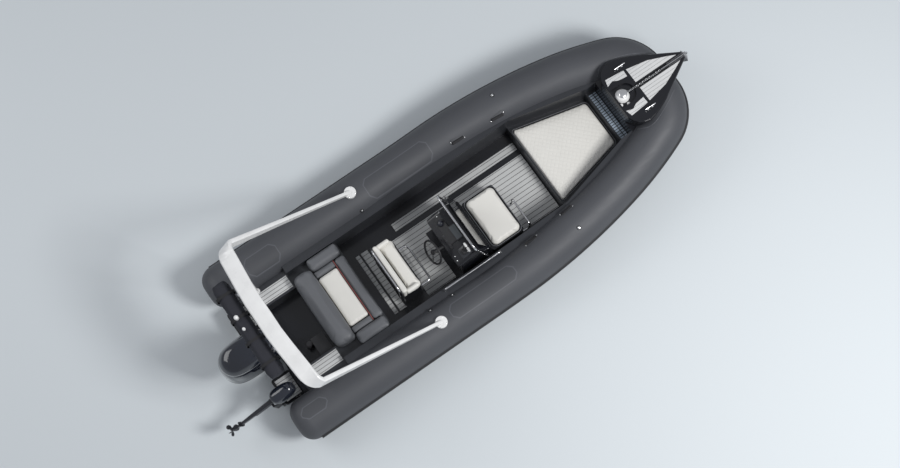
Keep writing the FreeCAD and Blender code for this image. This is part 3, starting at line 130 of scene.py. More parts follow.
class Finish:
    """A material, and the nodes that vary it over a surface."""

    def __init__(self, name, color, roughness, **fixed):
        self.material = bpy.data.materials.new(name)
        self.material.use_nodes = True
        self.tree = self.material.node_tree
        self.shader = self.tree.nodes["Principled BSDF"]
        self.vary(base_color=(*color, 1.0), roughness=roughness, **fixed)

    def feed(self, socket, value):
        """Links a wire to a socket, or sets the socket's own value."""
        if isinstance(value, Wire):
            self.tree.links.new(value.socket, socket)
        else:
            socket.default_value = value

    def node(self, kind, settings=None, inputs=None, output=0):
        """Adds a node: its settings first, then what its sockets hold."""
        node = self.tree.nodes.new(kind)
        for name, value in (settings or {}).items():
            if name == "stops":
                while len(node.color_ramp.elements) < len(value):
                    node.color_ramp.elements.new(0.5)
                for element, (position, shade) in zip(node.color_ramp.elements, value):
                    element.position = position
                    element.color = (shade, shade, shade, 1.0)
            else:
                setattr(node, name, value)
        for name, value in (inputs or {}).items():
            self.feed(node.inputs[name], value)
        return Wire(self, node.outputs[output])

    def place(self):
        """The point on the object, in metres."""
        return self.node("ShaderNodeTexCoord", output="Object")

    def axes(self):
        """The same point as three numbers."""
        split = self.node("ShaderNodeSeparateXYZ", inputs={0: self.place()}).socket.node
        return [Wire(self, output) for output in split.outputs]

    def noise(self, scale, detail=3.0, stretch=(1, 1, 1)):
        """Soft random values around a half. The scale is in turns to a metre."""
        point = self.node("ShaderNodeMapping", inputs={"Vector": self.place(), "Scale": stretch})
        return self.node("ShaderNodeTexNoise", inputs={"Vector": point, "Scale": scale, "Detail": detail})

    def ramp(self, value, *stops):
        """Stretches a value between two or more (place, shade) stops."""
        return self.node("ShaderNodeValToRGB", {"stops": stops}, {0: value})

    def mix(self, factor, first, second):
        """Blends two colours by a factor."""
        inputs = {MIX_FACTOR: factor, MIX_FIRST: (*first, 1.0), MIX_SECOND: (*second, 1.0)}
        return self.node("ShaderNodeMix", {"data_type": "RGBA"}, inputs, output=MIX_COLOR_RESULT)

    def vary(self, **values):
        """Feeds wires or values to the shader, such as base_color=..., roughness=..."""
        for words, value in values.items():
            self.feed(self.shader.inputs[words.replace("_", " ").title()], value)

    def bump(self, height, distance, strength=1.0):
        """Turns heights from 0 to 1 into a normal. The distance is in metres."""
        inputs = {"Height": height, "Distance": distance, "Strength": strength}
        self.vary(normal=self.node("ShaderNodeBump", inputs=inputs))


def shade(color, amount):
    """A colour made lighter or darker."""
    return tuple(min(1.0, channel * amount) for channel in color)


# %% [markdown]
# ## Finishes
#
# Each finish copies one stuff on the boat: coated fabric on the tubes, black
# gelcoat, sewn vinyl, closed-cell foam, polished tube, white lacquer, woven
# cover cloth and the motors' paint. What changes over the surface is small,
# such as dust, a weave or a grain, and feeds only the colour, the roughness or
# the normal.

# %% Coated fabric of the tubes
TUBE_GREY = (0.064, 0.067, 0.075)
FABRIC_THREAD = 0.0016


def coated_fabric(name, color):
    """Heavy coated cloth: a fine weave under the coat, and faint scuffs."""
    finish = Finish(name, color, 0.55)
    clouds = finish.noise(1.3, 4.0)
    scuffs = finish.noise(9.0, 6.0, (0.35, 1.6, 1.6))
    finish.vary(base_color=finish.mix(clouds, shade(color, 0.86), shade(color, 1.14)))
    finish.vary(roughness=0.46 + scuffs * 0.2)
    x, y, z = finish.axes()
    weave = (x.to_line(FABRIC_THREAD) + (y + z).to_line(FABRIC_THREAD)) * 600
    finish.bump(weave * 0.3 + scuffs * 0.7, 0.0006, 0.35)
    return finish.material


TUBE_FABRIC = coated_fabric("coated_fabric_grey", TUBE_GREY)
PATCH_FABRIC = coated_fabric("coated_fabric_patch", shade(TUBE_GREY, 0.9))


# %% Rubber, gelcoat and plastics
def moulded(name, color, roughness, grain, depth, **fixed):
    """A moulded surface with a fine grain."""
    finish = Finish(name, color, roughness, **fixed)
    specks = finish.noise(grain, 4.0)
    marks = finish.noise(4.0, 5.0)
    finish.vary(base_color=finish.mix(marks, shade(color, 0.85), shade(color, 1.15)))
    finish.vary(roughness=roughness * 0.85 + marks * (roughness * 0.3))
    finish.bump(specks, depth, 0.4)
    return finish.material


STRAKE_RUBBER = moulded("strake_rubber", (0.016, 0.016, 0.018), 0.6, grain=500, depth=0.0004)
BLACK_GELCOAT = moulded("black_gelcoat", (0.006, 0.0065, 0.009), 0.22, grain=3, depth=0.0006,
                        coat_weight=0.2, coat_roughness=0.05)
GREY_GELCOAT = moulded("grey_gelcoat", (0.028, 0.030, 0.035), 0.32, grain=260, depth=0.0004,
                       coat_weight=0.15, coat_roughness=0.1)
BLACK_PLASTIC = moulded("black_plastic", (0.018, 0.018, 0.02), 0.42, grain=700, depth=0.0003)
MOTOR_PAINT = moulded("motor_paint", (0.010, 0.013, 0.022), 0.14, grain=6, depth=0.0005,
                      coat_weight=0.8, coat_roughness=0.04)
MOTOR_CASTING = moulded("motor_casting", (0.020, 0.021, 0.026), 0.36, grain=400, depth=0.0004, metallic=0.3)
ARCH_LACQUER = moulded("arch_lacquer", (0.80, 0.80, 0.79), 0.28, grain=5, depth=0.0006,
                       coat_weight=0.4, coat_roughness=0.08)


# %% Metals
def metal(name, color, roughness, streak=(1, 1, 1)):
    """Metal with faint marks, which a streak draws out along the boat as brushing does."""
    finish = Finish(name, color, roughness, metallic=1.0)
    lines = finish.noise(60.0, 3.0, streak)
    finish.vary(roughness=roughness * 0.7 + lines * (roughness * 0.6))
    finish.vary(base_color=finish.mix(lines, shade(color, 0.9), color))
    return finish.material


POLISHED_STEEL = metal("polished_steel", (0.72, 0.72, 0.73), 0.16)
GALVANISED = metal("galvanised_steel", (0.56, 0.57, 0.58), 0.38)
BRUSHED_STEEL = metal("brushed_steel", (0.52, 0.52, 0.53), 0.3, streak=(0.2, 3, 3))


# %% Foam under the planks
DARK_FOAM = moulded("dark_foam", (0.020, 0.020, 0.021), 0.85, grain=700, depth=0.0006)
SEAM_FOAM = moulded("seam_foam", (0.07, 0.07, 0.072), 0.85, grain=700, depth=0.0006)


# %% Sewn vinyl
CREAM = (0.73, 0.715, 0.67)
SEAT_GREY = (0.125, 0.13, 0.14)
DIAGONAL = 0.7071
QUILT_PITCH = 0.055


def vinyl(name, color, quilt=0.0):
    """Marine vinyl with a leather grain, and sewn diamonds where it is quilted."""
    finish = Finish(name, color, 0.5)
    x, y, z = finish.axes()
    grain = finish.node("ShaderNodeTexVoronoi", inputs={"Vector": finish.place(), "Scale": 420.0})
    clouds = finish.noise(3.0, 3.0)
    finish.vary(base_color=finish.mix(clouds, shade(color, 0.94), shade(color, 1.04)))
    height = grain * 0.12
    depth = 0.0008
    if quilt:
        across = ((x + y) * DIAGONAL).to_line(quilt)
        along = ((x - y) * DIAGONAL).to_line(quilt)
        from_seam = across.maths("MINIMUM", across, along) * (2 / quilt)
        height = finish.ramp(from_seam, (0.0, 0.0), (0.25, 0.75), (1.0, 1.0)) + grain * 0.05
        depth = 0.004
    finish.bump(height, depth, 0.7)
    return finish.material


CREAM_VINYL = vinyl("cream_vinyl", CREAM)
QUILTED_VINYL = vinyl("quilted_cream_vinyl", CREAM, QUILT_PITCH)
GREY_VINYL = vinyl("grey_vinyl", SEAT_GREY)


# %% Cover cloth and screen
CANVAS_THREAD = 0.0022


def cover_cloth(name, color):
    """Tightly woven acrylic canvas."""
    finish = Finish(name, color, 0.85)
    x, y, z = finish.axes()
    weave = (y.to_line(CANVAS_THREAD) + (x + z).to_line(CANVAS_THREAD)) * 450
    fade = finish.noise(2.5, 4.0)
    finish.vary(base_color=finish.mix(fade, shade(color, 0.85), shade(color, 1.25)))
    finish.bump(weave, 0.0006, 0.6)
    return finish.material


COVER_CLOTH = cover_cloth("cover_cloth", (0.020, 0.021, 0.028))


def tinted_screen():
    """Smoked acrylic sheet that lets some light through."""
    finish = Finish("smoked_acrylic", (0.02, 0.022, 0.026), 0.06, alpha=0.72, coat_weight=0.5)
    film = finish.noise(6.0, 3.0)
    finish.vary(roughness=0.04 + film * 0.06)
    return finish.material


SMOKED_ACRYLIC = tinted_screen()
print("finishes:", len(bpy.data.materials))

# %% [markdown]
# ## Dressing the solids
#
# A solid whose shape is right keeps its mesh, and only its material changes.
# A short table says which finish each one takes.

# %% Finishes of the solids
DRESS = [
    (TUBE_FABRIC, ["collar_port", "collar_starboard", "collar_bow"]),
    (STRAKE_RUBBER, ["rub_strake"]),
    (BLACK_GELCOAT, ["hull", "hull_bow", "nose", "transom", "console", "front_seat_box", "helm_seat_box",
                     "stern_platforms"]),
    (GREY_GELCOAT, ["coaming_port", "coaming_starboard", "stern_deck_port", "stern_deck_starboard",
                    "sunpad_box", "bow_step", "bench_box"]),
    (DARK_FOAM, ["deck_mats"]),
    (SEAM_FOAM, ["nose_pads"]),
    (POLISHED_STEEL, ["windscreen_hoop", "helm_seat_rails", "side_rail", "front_rail", "bow_cleats",
                      "bow_roller", "boot_brackets", "windlass"]),
    (GALVANISED, ["anchor", "anchor_chain"]),
    (BRUSHED_STEEL, ["steering_wheel"]),
    (ARCH_LACQUER, ["arch", "arch_supports", "stern_light"]),
    (BLACK_PLASTIC, ["steering_column", "instrument_panel", "throttle", "well_gear", "tube_handles"]),
    (MOTOR_PAINT, ["motor_cowl", "kicker_cowl"]),
    (MOTOR_CASTING, ["motor_leg", "motor_swivel", "motor_clamp", "motor_propeller", "kicker_leg",
                     "kicker_swivel", "kicker_bracket", "kicker_propeller"]),
    (SMOKED_ACRYLIC, ["windscreen"]),
    (CREAM_VINYL, ["sunpad_cushion", "front_seat_cushion", "helm_seat_cushion", "helm_seat_back",
                   "bench_backrest", "bench_seat", "bench_bolsters"]),
    (COVER_CLOTH, ["canopy_boot"]),
]
dressed = set()
for material, names in DRESS:
    for name in names:
        for slot in NODES[name].material_slots:
            slot.material = material
        dressed.add(name)
print("left undressed:", sorted(set(NODES) - dressed))

# %% [markdown]
# ## Starting and ending a piece
#
# Every new piece starts as a primitive at its own size and place, with nothing
# else selected, because an operator acts on all that is selected. It ends with
# its place applied to its mesh, so that its object sits at the origin as the
# solids' objects do, and with a body to ride on.

# %% Helpers for every piece
BOAT = "boat"
SIDES = {"port": 1, "starboard": -1}
ALIGNED = 0.9
MIDDLE_SLACK = 0.001
X, Y, Z = range(3)


def only(piece):
    """Selects one object and makes it active."""
    bpy.ops.object.select_all(action="DESELECT")
    piece.select_set(True)
    bpy.context.view_layer.objects.active = piece


def start(name, add, low=None, high=None, **options):
    """Adds a primitive. With two corners, it is a unit shape scaled to fill them."""
    bpy.ops.object.select_all(action="DESELECT")
    if low is not None:
        low, high = Vector(low), Vector(high)
        options["location"] = (low + high) / 2
    add(**options)
    piece = bpy.context.object
    piece.name = piece.data.name = name
    if low is not None:
        piece.scale = [high[axis] - low[axis] or 1.0 for axis in range(3)]
        bpy.ops.object.transform_apply(location=False, rotation=False, scale=True)
    return piece


def block(name, low, high):
    """A box between two corners, to be shaped further."""
    return start(name, bpy.ops.mesh.primitive_cube_add, low, high, size=1)


def pick(piece, test, mode="FACE"):
    """Goes into edit mode with only the faces, edges or points that pass a test selected."""
    only(piece)
    bpy.ops.object.mode_set(mode="EDIT")
    bpy.ops.mesh.select_mode(type=mode)
    bpy.ops.mesh.select_all(action="DESELECT")
    bpy.ops.object.mode_set(mode="OBJECT")
    parts = {"FACE": piece.data.polygons, "EDGE": piece.data.edges, "VERT": piece.data.vertices}[mode]
    for part in parts:
        if test(part):
            part.select = True
    bpy.ops.object.mode_set(mode="EDIT")


def pick_along(piece, axis):
    """Picks the edges that run along an axis."""
    def runs_along(line):
        first, second = (piece.data.vertices[end].co for end in line.vertices)
        return abs((first - second).normalized()[axis]) > ALIGNED

    pick(piece, runs_along, "EDGE")


def leave():
    """Back to object mode."""
    bpy.ops.object.mode_set(mode="OBJECT")


def shift(piece, test, way):
    """Moves the points that pass a test."""
    pick(piece, test, "VERT")
    bpy.ops.transform.translate(value=way)
    leave()


def stretch(piece, test, factors, mode="VERT", **options):
    """Scales the points or faces that pass a test."""
    pick(piece, test, mode)
    bpy.ops.transform.resize(value=factors, **options)
    leave()


def recess(piece, test, inset, way):
    """Insets the faces that pass a test and moves them."""
    pick(piece, test)
    bpy.ops.mesh.inset(thickness=inset)
    bpy.ops.transform.translate(value=way)
    leave()


def round_along(piece, axis, width, segments):
    """Rounds the edges that run along an axis."""
    pick_along(piece, axis)
    bpy.ops.mesh.bevel(offset=width, segments=segments, affect="EDGES")
    leave()


def everything(piece):
    """Goes into edit mode with all selected."""
    only(piece)
    bpy.ops.object.mode_set(mode="EDIT")
    bpy.ops.mesh.select_all(action="SELECT")


def modify(piece, kind, **settings):
    """Adds a modifier and applies it."""
    only(piece)
    modifier = piece.modifiers.new(kind.title(), kind)
    for name, value in settings.items():
        setattr(modifier, name, value)
    bpy.ops.object.modifier_apply(modifier=modifier.name)


def smooth(piece, angle=40):
    """Smooth shading, but sharp where faces meet at more than an angle."""
    only(piece)
    bpy.ops.object.shade_smooth_by_angle(angle=math.radians(angle))


def settle(piece):
    """Puts a piece's place and turn in its mesh."""
    only(piece)
    bpy.ops.object.transform_apply(location=True, rotation=True, scale=True)


def done(piece, material, body=BOAT):
    """Settles and dresses a piece, and gives it a body to ride on."""
    settle(piece)
    piece.data.materials.clear()
    piece.data.materials.append(material)
    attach(piece, body)


def outward(piece):
    """Merges doubled points and turns all faces outward."""
    everything(piece)
    bpy.ops.mesh.remove_doubles(threshold=0.00002)
    bpy.ops.mesh.normals_make_consistent(inside=False)
    leave()


# %% [markdown]
# ## Cushions
#
# A boat cushion is foam in a sewn vinyl cover. The foam presses the cover out
# between its seams, so each panel is crowned and the sides pull in between the
# corners. A bevelled block can't show that, so each cover is blown up a little
# by a cloth simulation from a shape slightly smaller than the cushion, and its
# points may move only a short way. The underside is pressed flat again, because
# it rests on its box.

# %% Blow up a cover
VOXEL = 0.013
PRESSURE = 4.0
LAST_FRAME = 13
SHRINK = 0.010
LEVEL_SLACK = 1e-4
TINY = 1e-9


def shrunk(low, high, by=SHRINK):
    """A box made smaller at its sides and top, so that it can swell."""
    return (low[0] + by, low[1] + by, low[2]), (high[0] - by, high[1] - by, high[2] - by)


def puff(piece, cap=0.024, voxel=VOXEL):
    """Swells a closed shape by a short cloth simulation, and flattens its underside."""
    modify(piece, "REMESH", mode="VOXEL", voxel_size=voxel)
    count = len(piece.data.vertices)
    before = np.empty(count * 3)
    piece.data.vertices.foreach_get("co", before)
    floor = before.reshape(-1, 3)[:, 2].min()
    only(piece)
    cloth = piece.modifiers.new("Cloth", "CLOTH")
    cloth.settings.use_pressure = True
    cloth.settings.uniform_pressure_force = PRESSURE
    cloth.settings.effector_weights.gravity = 0
    for frame_number in range(1, LAST_FRAME + 1):
        bpy.context.scene.frame_set(frame_number)
    bpy.ops.object.modifier_apply(modifier=cloth.name)
    bpy.context.scene.frame_set(1)
    after = np.empty(count * 3)
    piece.data.vertices.foreach_get("co", after)
    move = (after - before).reshape(-1, 3)
    far = np.maximum(np.linalg.norm(move, axis=1, keepdims=True), TINY)
    points = before.reshape(-1, 3) + move * np.minimum(1.0, cap / far)
    points[:, 2] = np.maximum(points[:, 2], floor)
    piece.data.vertices.foreach_set("co", points.ravel())
    modify(piece, "SUBSURF", levels=1, render_levels=1)
    only(piece)
    bpy.ops.object.shade_smooth()
    print(piece.name, "swelled by up to", round(float(min(far.max(), cap)) * 1000), "mm,", count, "points")


def cushion(name, low, high, corner, edge, taper=1.0):
    """A padded block, narrower at its forward end where it tapers."""
    piece = block(name, low, high)
    if taper != 1.0:
        stretch(piece, lambda face: face.normal.x > ALIGNED, (1, taper, 1), "FACE")
    round_along(piece, Z, corner, 5)
    top = max(point.co.z for point in piece.data.vertices)

    def at_top(line):
        return all(abs(piece.data.vertices[end].co.z - top) < LEVEL_SLACK for end in line.vertices)

    pick(piece, at_top, "EDGE")
    bpy.ops.mesh.bevel(offset=edge, segments=4, affect="EDGES")
    leave()
    return piece


def upholster(piece, finish, node, fill, **swell):
    """Swells a cover, dresses it as sewn vinyl, and puts it in a solid's place."""
    puff(piece, **swell)
    done(piece, finish)
    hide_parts(node)


# %% Piping round a cushion
PIPING_RADIUS = 0.004


def piping(name, low, high, inset, drop, corner, taper=1.0):
    """A round cord sewn along a cushion's top edge, from a plane's bevelled outline."""
    level = high[2] - drop
    cord = start(name, bpy.ops.mesh.primitive_plane_add, (low[0] + inset, low[1] + inset, level),
                 (high[0] - inset, high[1] - inset, level), size=1)
    if taper != 1.0:
        stretch(cord, lambda point: point.co.x > 0, (1, taper, 1))
    everything(cord)
    bpy.ops.mesh.bevel(offset=corner, segments=6, affect="VERTICES")
    bpy.ops.mesh.delete(type="ONLY_FACE")
    leave()
    bpy.ops.object.convert(target="CURVE")
    cord.data.bevel_depth = PIPING_RADIUS
    cord.data.bevel_resolution = 2
    bpy.ops.object.convert(target="MESH")
    outward(cord)
    smooth(cord)
    done(cord, GREY_VINYL)


# %% [markdown]
# ## Sunpad
#
# The big pad in the bow is a trapezium, wide aft and narrow forward, with a
# fine diagonal quilting and a piped edge. The quilting is too fine to model at
# its size, so it is in the finish.

# %% Sunpad
PAD_LOW, PAD_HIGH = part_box("sunpad_cushion")
PAD_TAPER = 0.581
sunpad = cushion("sunpad", *shrunk(PAD_LOW, PAD_HIGH), corner=0.045, edge=0.022, taper=PAD_TAPER)
upholster(sunpad, QUILTED_VINYL, "sunpad_cushion", fill=0.85, cap=0.016, voxel=0.018)
piping("sunpad_piping", PAD_LOW, PAD_HIGH, inset=0.006, drop=0.024, corner=0.05, taper=PAD_TAPER)

# %% [markdown]
# ## Front seat
#
# The seat on the front of the console has rounded corners and a grey piping
# round its top.

# %% Front seat
SEAT_LOW, SEAT_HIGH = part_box("front_seat_cushion")
front_seat = cushion("front_seat_cushion_cover", *shrunk(SEAT_LOW, SEAT_HIGH), corner=0.085, edge=0.028)
upholster(front_seat, CREAM_VINYL, "front_seat_cushion", fill=0.8)
piping("front_seat_piping", SEAT_LOW, SEAT_HIGH, inset=0.007, drop=0.026, corner=0.09)

# %% [markdown]
# ## Helm seat
#
# The helm seat is a narrow bench to lean on, with a backrest behind it. Both
# are plain cream covers. The pad's back edge sits against the backrest.

# %% Helm seat
HELM_LOW, HELM_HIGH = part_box("helm_seat_cushion")
helm_pad = cushion("helm_seat_pad", *shrunk(HELM_LOW, HELM_HIGH), corner=0.06, edge=0.03)
upholster(helm_pad, CREAM_VINYL, "helm_seat_cushion", fill=0.8, cap=0.018)

BACK_LOW, BACK_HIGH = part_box("helm_seat_back")
helm_back = cushion("helm_seat_backrest", *shrunk(BACK_LOW, BACK_HIGH, by=0.008), corner=0.03, edge=0.022)
upholster(helm_back, CREAM_VINYL, "helm_seat_back", fill=0.8, cap=0.012)

# %% [markdown]
# ## Aft bench
#
# The bench's backrest is a fat grey roll with a cream stripe along its front.
# Its seat is a cream panel between grey borders, and a grey bolster ends it on
# each side. Panels of two colours are sewn from two covers, so each colour is
# its own padded form here too.

# %% Bench backrest
REST_LOW, REST_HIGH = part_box("bench_backrest")
bench_roll = cushion("bench_roll", *shrunk(REST_LOW, REST_HIGH), corner=0.09, edge=0.06)
upholster(bench_roll, GREY_VINYL, "bench_backrest", fill=0.85)

# %% Bench panels
FRONT_SLOPE = 0.10
PANEL_SHRINK = 0.004
PANEL_HALF = 0.415
SEAM_GAP = 0.002
TUCK = 0.02
BENCH_LOW, BENCH_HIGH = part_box("bench_seat")
SEAT_BASE, SEAT_TOP = REST_LOW[2], BENCH_HIGH[2]


def panel(name, low, high, finish, node, corner, edge, slope=0.0):
    """One cover of the bench. Its upper front edge comes down where it slopes."""
    piece = block(name, *shrunk(low, high, by=PANEL_SHRINK))
    if slope:
        shift(piece, lambda point: point.co.x > 0 and point.co.z > 0, (0, 0, -slope))
    round_along(piece, Z, corner, 4)
    pick(piece, lambda face: face.normal.z > 0.5)
    bpy.ops.mesh.region_to_loop()
    bpy.ops.mesh.bevel(offset=edge, segments=3, affect="EDGES")
    leave()
    upholster(piece, finish, node, fill=0.85, cap=0.010, voxel=0.012)


ROLL_FRONT = REST_LOW[0] + 0.165
STRIPE_BACK, STRIPE_FRONT = ROLL_FRONT - TUCK, REST_HIGH[0]
REST_TOP = REST_HIGH[2]
panel("bench_rest_stripe", (STRIPE_BACK, -PANEL_HALF, SEAT_BASE),
      (STRIPE_FRONT, PANEL_HALF, REST_TOP - 0.004), CREAM_VINYL, "bench_backrest",
      corner=0.012, edge=0.02, slope=FRONT_SLOPE)
for word, side in SIDES.items():
    y0, y1 = sorted((side * (PANEL_HALF + SEAM_GAP), side * (REST_HIGH[1] - 0.012)))
    panel(f"bench_rest_end_{word}", (STRIPE_BACK, y0, SEAT_BASE), (STRIPE_FRONT, y1, REST_TOP - 0.006),
          GREY_VINYL, "bench_backrest", corner=0.03, edge=0.03, slope=FRONT_SLOPE)

# %% Bench seat and bolsters
CREAM_BACK, CREAM_FRONT = BENCH_LOW[0] + 0.003, BENCH_LOW[0] + 0.325
panel("bench_seat_panel", (CREAM_BACK, -PANEL_HALF, SEAT_BASE), (CREAM_FRONT, PANEL_HALF, SEAT_TOP),
      CREAM_VINYL, "bench_seat", corner=0.035, edge=0.018)
for word, side in SIDES.items():
    y0, y1 = sorted((side * (PANEL_HALF + SEAM_GAP), side * (BENCH_HIGH[1] - SEAM_GAP)))
    panel(f"bench_seat_border_{word}", (CREAM_BACK, y0, SEAT_BASE), (CREAM_FRONT, y1, SEAT_TOP - SEAM_GAP),
          GREY_VINYL, "bench_seat", corner=0.012, edge=0.018)
panel("bench_front_border", (CREAM_FRONT + 0.004, BENCH_LOW[1] + SEAM_GAP, SEAT_BASE),
      (BENCH_HIGH[0], BENCH_HIGH[1] - SEAM_GAP, SEAT_TOP - SEAM_GAP),
      GREY_VINYL, "bench_seat", corner=0.05, edge=0.03)
BOLSTER_LOW, BOLSTER_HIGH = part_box("bench_bolsters")
BOLSTER_GAP = 0.003
bolster_ends = {"port": (BENCH_HIGH[1] + BOLSTER_GAP, BOLSTER_HIGH[1]),
                "starboard": (BOLSTER_LOW[1], BENCH_LOW[1] - BOLSTER_GAP)}
for word, (y0, y1) in bolster_ends.items():
    panel(f"bench_bolster_{word}", (BOLSTER_LOW[0], y0, SEAT_BASE),
          (BOLSTER_HIGH[0] - TUCK, y1, BOLSTER_HIGH[2]),
          GREY_VINYL, "bench_bolsters", corner=0.04, edge=0.035)

# %% Seam cord across the bench
SEAM_RED = Finish("seam_cord_red", (0.36, 0.10, 0.09), 0.55)
SEAM_RED.vary(roughness=0.45 + SEAM_RED.noise(300.0) * 0.3)
SEAM_RADIUS = 0.0045
QUARTER_TURN = math.radians(90)
seam = start("bench_seam_cord", bpy.ops.mesh.primitive_cylinder_add, vertices=10, radius=SEAM_RADIUS,
             depth=2 * BENCH_HIGH[1] - 0.03, location=(CREAM_FRONT + 0.002, 0, SEAT_TOP - 0.006),
             rotation=(QUARTER_TURN, 0, 0))
pick(seam, lambda face: len(face.vertices) > 4)
bpy.ops.mesh.inset(thickness=0.001)
leave()
modify(seam, "BEVEL", width=0.0015, segments=2)
smooth(seam)
done(seam, SEAM_RED.material)

# %% [markdown]
# ## Canopy in its boot
#
# The folded canopy lies behind the arch in a long cloth boot. It is a bag that
# is tied up tight, so it is puffed like a cushion, and then creased by a noise
# so that the cloth doesn't look inflated. Its ends are drawn in, and four straps
# pass round it.

# %% Boot
BOOT_LOW, BOOT_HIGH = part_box("canopy_boot")
BOOT_LENGTH = BOOT_HIGH[1] - BOOT_LOW[1]
END_START = 0.46
END_TAPER = 0.80
boot = block("canopy_boot_cover", *shrunk(BOOT_LOW, BOOT_HIGH, by=0.012))
round_along(boot, Y, 0.08, 5)
pick_along(boot, Y)
bpy.ops.mesh.subdivide(number_cuts=14)
leave()
stretch(boot, lambda point: abs(point.co.y) > BOOT_LENGTH * END_START, (END_TAPER, 1.0, END_TAPER),
        center_override=boot.location)
puff(boot, cap=0.012, voxel=0.015)
creases = bpy.data.textures.new("creases", "CLOUDS")
creases.noise_scale = 0.16
modify(boot, "DISPLACE", texture=creases, texture_coords="LOCAL", strength=0.012, mid_level=0.75)
done(boot, COVER_CLOTH)
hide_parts("canopy_boot")

# %% Straps round the boot
WEBBING = Finish("black_webbing", (0.014, 0.014, 0.016), 0.75)
x, y, z = WEBBING.axes()
WEBBING_THREAD = 0.003
WEBBING.bump((x.to_line(WEBBING_THREAD) + z.to_line(WEBBING_THREAD)) * 300, 0.0006)
STRAP_HALF_WIDTH = 0.02
STRAP_AWAY = 0.001
FIRST_STRAP, STRAP_PITCH = 0.14, 0.24
for number in range(4):
    place_y = BOOT_LOW[1] + BOOT_LENGTH * (FIRST_STRAP + STRAP_PITCH * number)
    strap = block(f"boot_strap_{number}",
                  (BOOT_LOW[0] - STRAP_AWAY, place_y - STRAP_HALF_WIDTH, BOOT_LOW[2] - STRAP_AWAY),
                  (BOOT_HIGH[0] + STRAP_AWAY, place_y + STRAP_HALF_WIDTH, BOOT_HIGH[2] + STRAP_AWAY))
    round_along(strap, Y, 0.085, 6)
    pick(strap, lambda face: abs(face.normal.y) > ALIGNED)
    bpy.ops.mesh.delete(type="FACE")
    leave()
    modify(strap, "SOLIDIFY", thickness=0.003, offset=-1)
    smooth(strap)
    done(strap, WEBBING.material)

# %% [markdown]
# ## Turned and bent pieces
#
# Many fittings are round: windlass, valves, knobs and caps. Such a form starts
# as a disc, which is extruded from level to level and scaled to each radius, as
# clay grows on a wheel. The chain's links and the wheel's spokes are made once
# and copied.

# %% Helpers for fittings
def turned(name, profile, place=(0, 0, 0), turn=(0, 0, 0), vertices=32, bevel=0.0):
    """A round form from (radius, level) steps along its own Z, then turned and put in place."""
    radius, level = profile[0]
    piece = start(name, bpy.ops.mesh.primitive_circle_add, vertices=vertices, radius=radius, fill_type="NGON",
                  location=(0, 0, level))
    everything(piece)
    for next_radius, next_level in profile[1:]:
        bpy.ops.mesh.extrude_region_move(TRANSFORM_OT_translate={"value": (0, 0, next_level - level)})
        factor = next_radius / radius
        bpy.ops.transform.resize(value=(factor, factor, 1))
        radius, level = next_radius, next_level
    leave()
    outward(piece)
    bpy.ops.object.transform_apply(location=True, rotation=False, scale=False)
    if bevel:
        modify(piece, "BEVEL", width=bevel, segments=2, limit_method="ANGLE")
    piece.rotation_euler = turn
    piece.location = place
    smooth(piece)
    return piece


def bevelled(name, low, high, width, segments=3):
    """A block whose edges are all rounded."""
    piece = block(name, low, high)
    modify(piece, "BEVEL", width=width, segments=segments)
    smooth(piece)
    return piece


def drawn_out(piece, reach):
    """Makes a ring or a disc long, by moving its two halves apart."""
    shift(piece, lambda point: point.co.x > MIDDLE_SLACK, (reach, 0, 0))
    shift(piece, lambda point: point.co.x < -MIDDLE_SLACK, (-reach, 0, 0))


def copies(piece, places):
    """Copies of a piece at other places, each with its own mesh. The first stays in the list."""
    made = [piece]
    for number, place in enumerate(places, start=1):
        only(piece)
        bpy.ops.object.duplicate(linked=False)
        copy = bpy.context.object
        copy.name = copy.data.name = f"{piece.name}_{number}"
        copy.location = place
        made.append(copy)
    return made


def joined(pieces):
    """Several pieces as one."""
    only(pieces[0])
    for piece in pieces[1:]:
        piece.select_set(True)
    bpy.ops.object.join()
    return bpy.context.object


def bent(name, points, radius, sides=8):
    """A round bar along a smooth line through a few points."""
    bpy.ops.object.select_all(action="DESELECT")
    bpy.ops.curve.primitive_bezier_curve_add()
    line = bpy.context.object
    line.name = line.data.name = name
    spline = line.data.splines[0]
    spline.bezier_points.add(len(points) - 2)
    for knot, point in zip(spline.bezier_points, points):
        knot.co = point
        knot.handle_left_type = knot.handle_right_type = "AUTO"
    line.data.bevel_depth = radius
    line.data.bevel_resolution = sides // 4
    line.data.use_fill_caps = True
    bpy.ops.object.convert(target="MESH")
    outward(line)
    smooth(line)
    return line


def copy_of(node, name):
    """A new piece with a copy of a solid's mesh, merged first because it is loose triangles."""
    piece = bpy.data.objects.new(name, NODES[node].data.copy())
    bpy.context.scene.collection.objects.link(piece)
    piece.data.name = name
    outward(piece)
    return piece


# %% [markdown]
# ## Foam planks
#
# The deck foam is cut right through its light top layer, so the dark layer
# under it shows in the grooves. The solid mats stay as the dark layer. A copy
# of their top faces is split along the grooves, the faces in the grooves are
# deleted, and the rest gets the top layer's thickness.

# %% Split the mats into planks
FOAM_TOP = 0.0025
ALONG, ACROSS = Vector((1, 0, 0)), Vector((0, 1, 0))


def plank_finish(name, color):
    """Pale closed-cell foam, with a fine grain and some dust."""
    finish = Finish(name, color, 0.82)
    grain = finish.noise(700, 2.0)
    dust = finish.noise(4.0, 5.0)
    finish.vary(base_color=finish.mix(dust, shade(color, 0.86), shade(color, 1.08)))
    finish.vary(roughness=0.76 + dust * 0.12)
    finish.bump(grain, 0.0005, 0.5)
    return finish.material


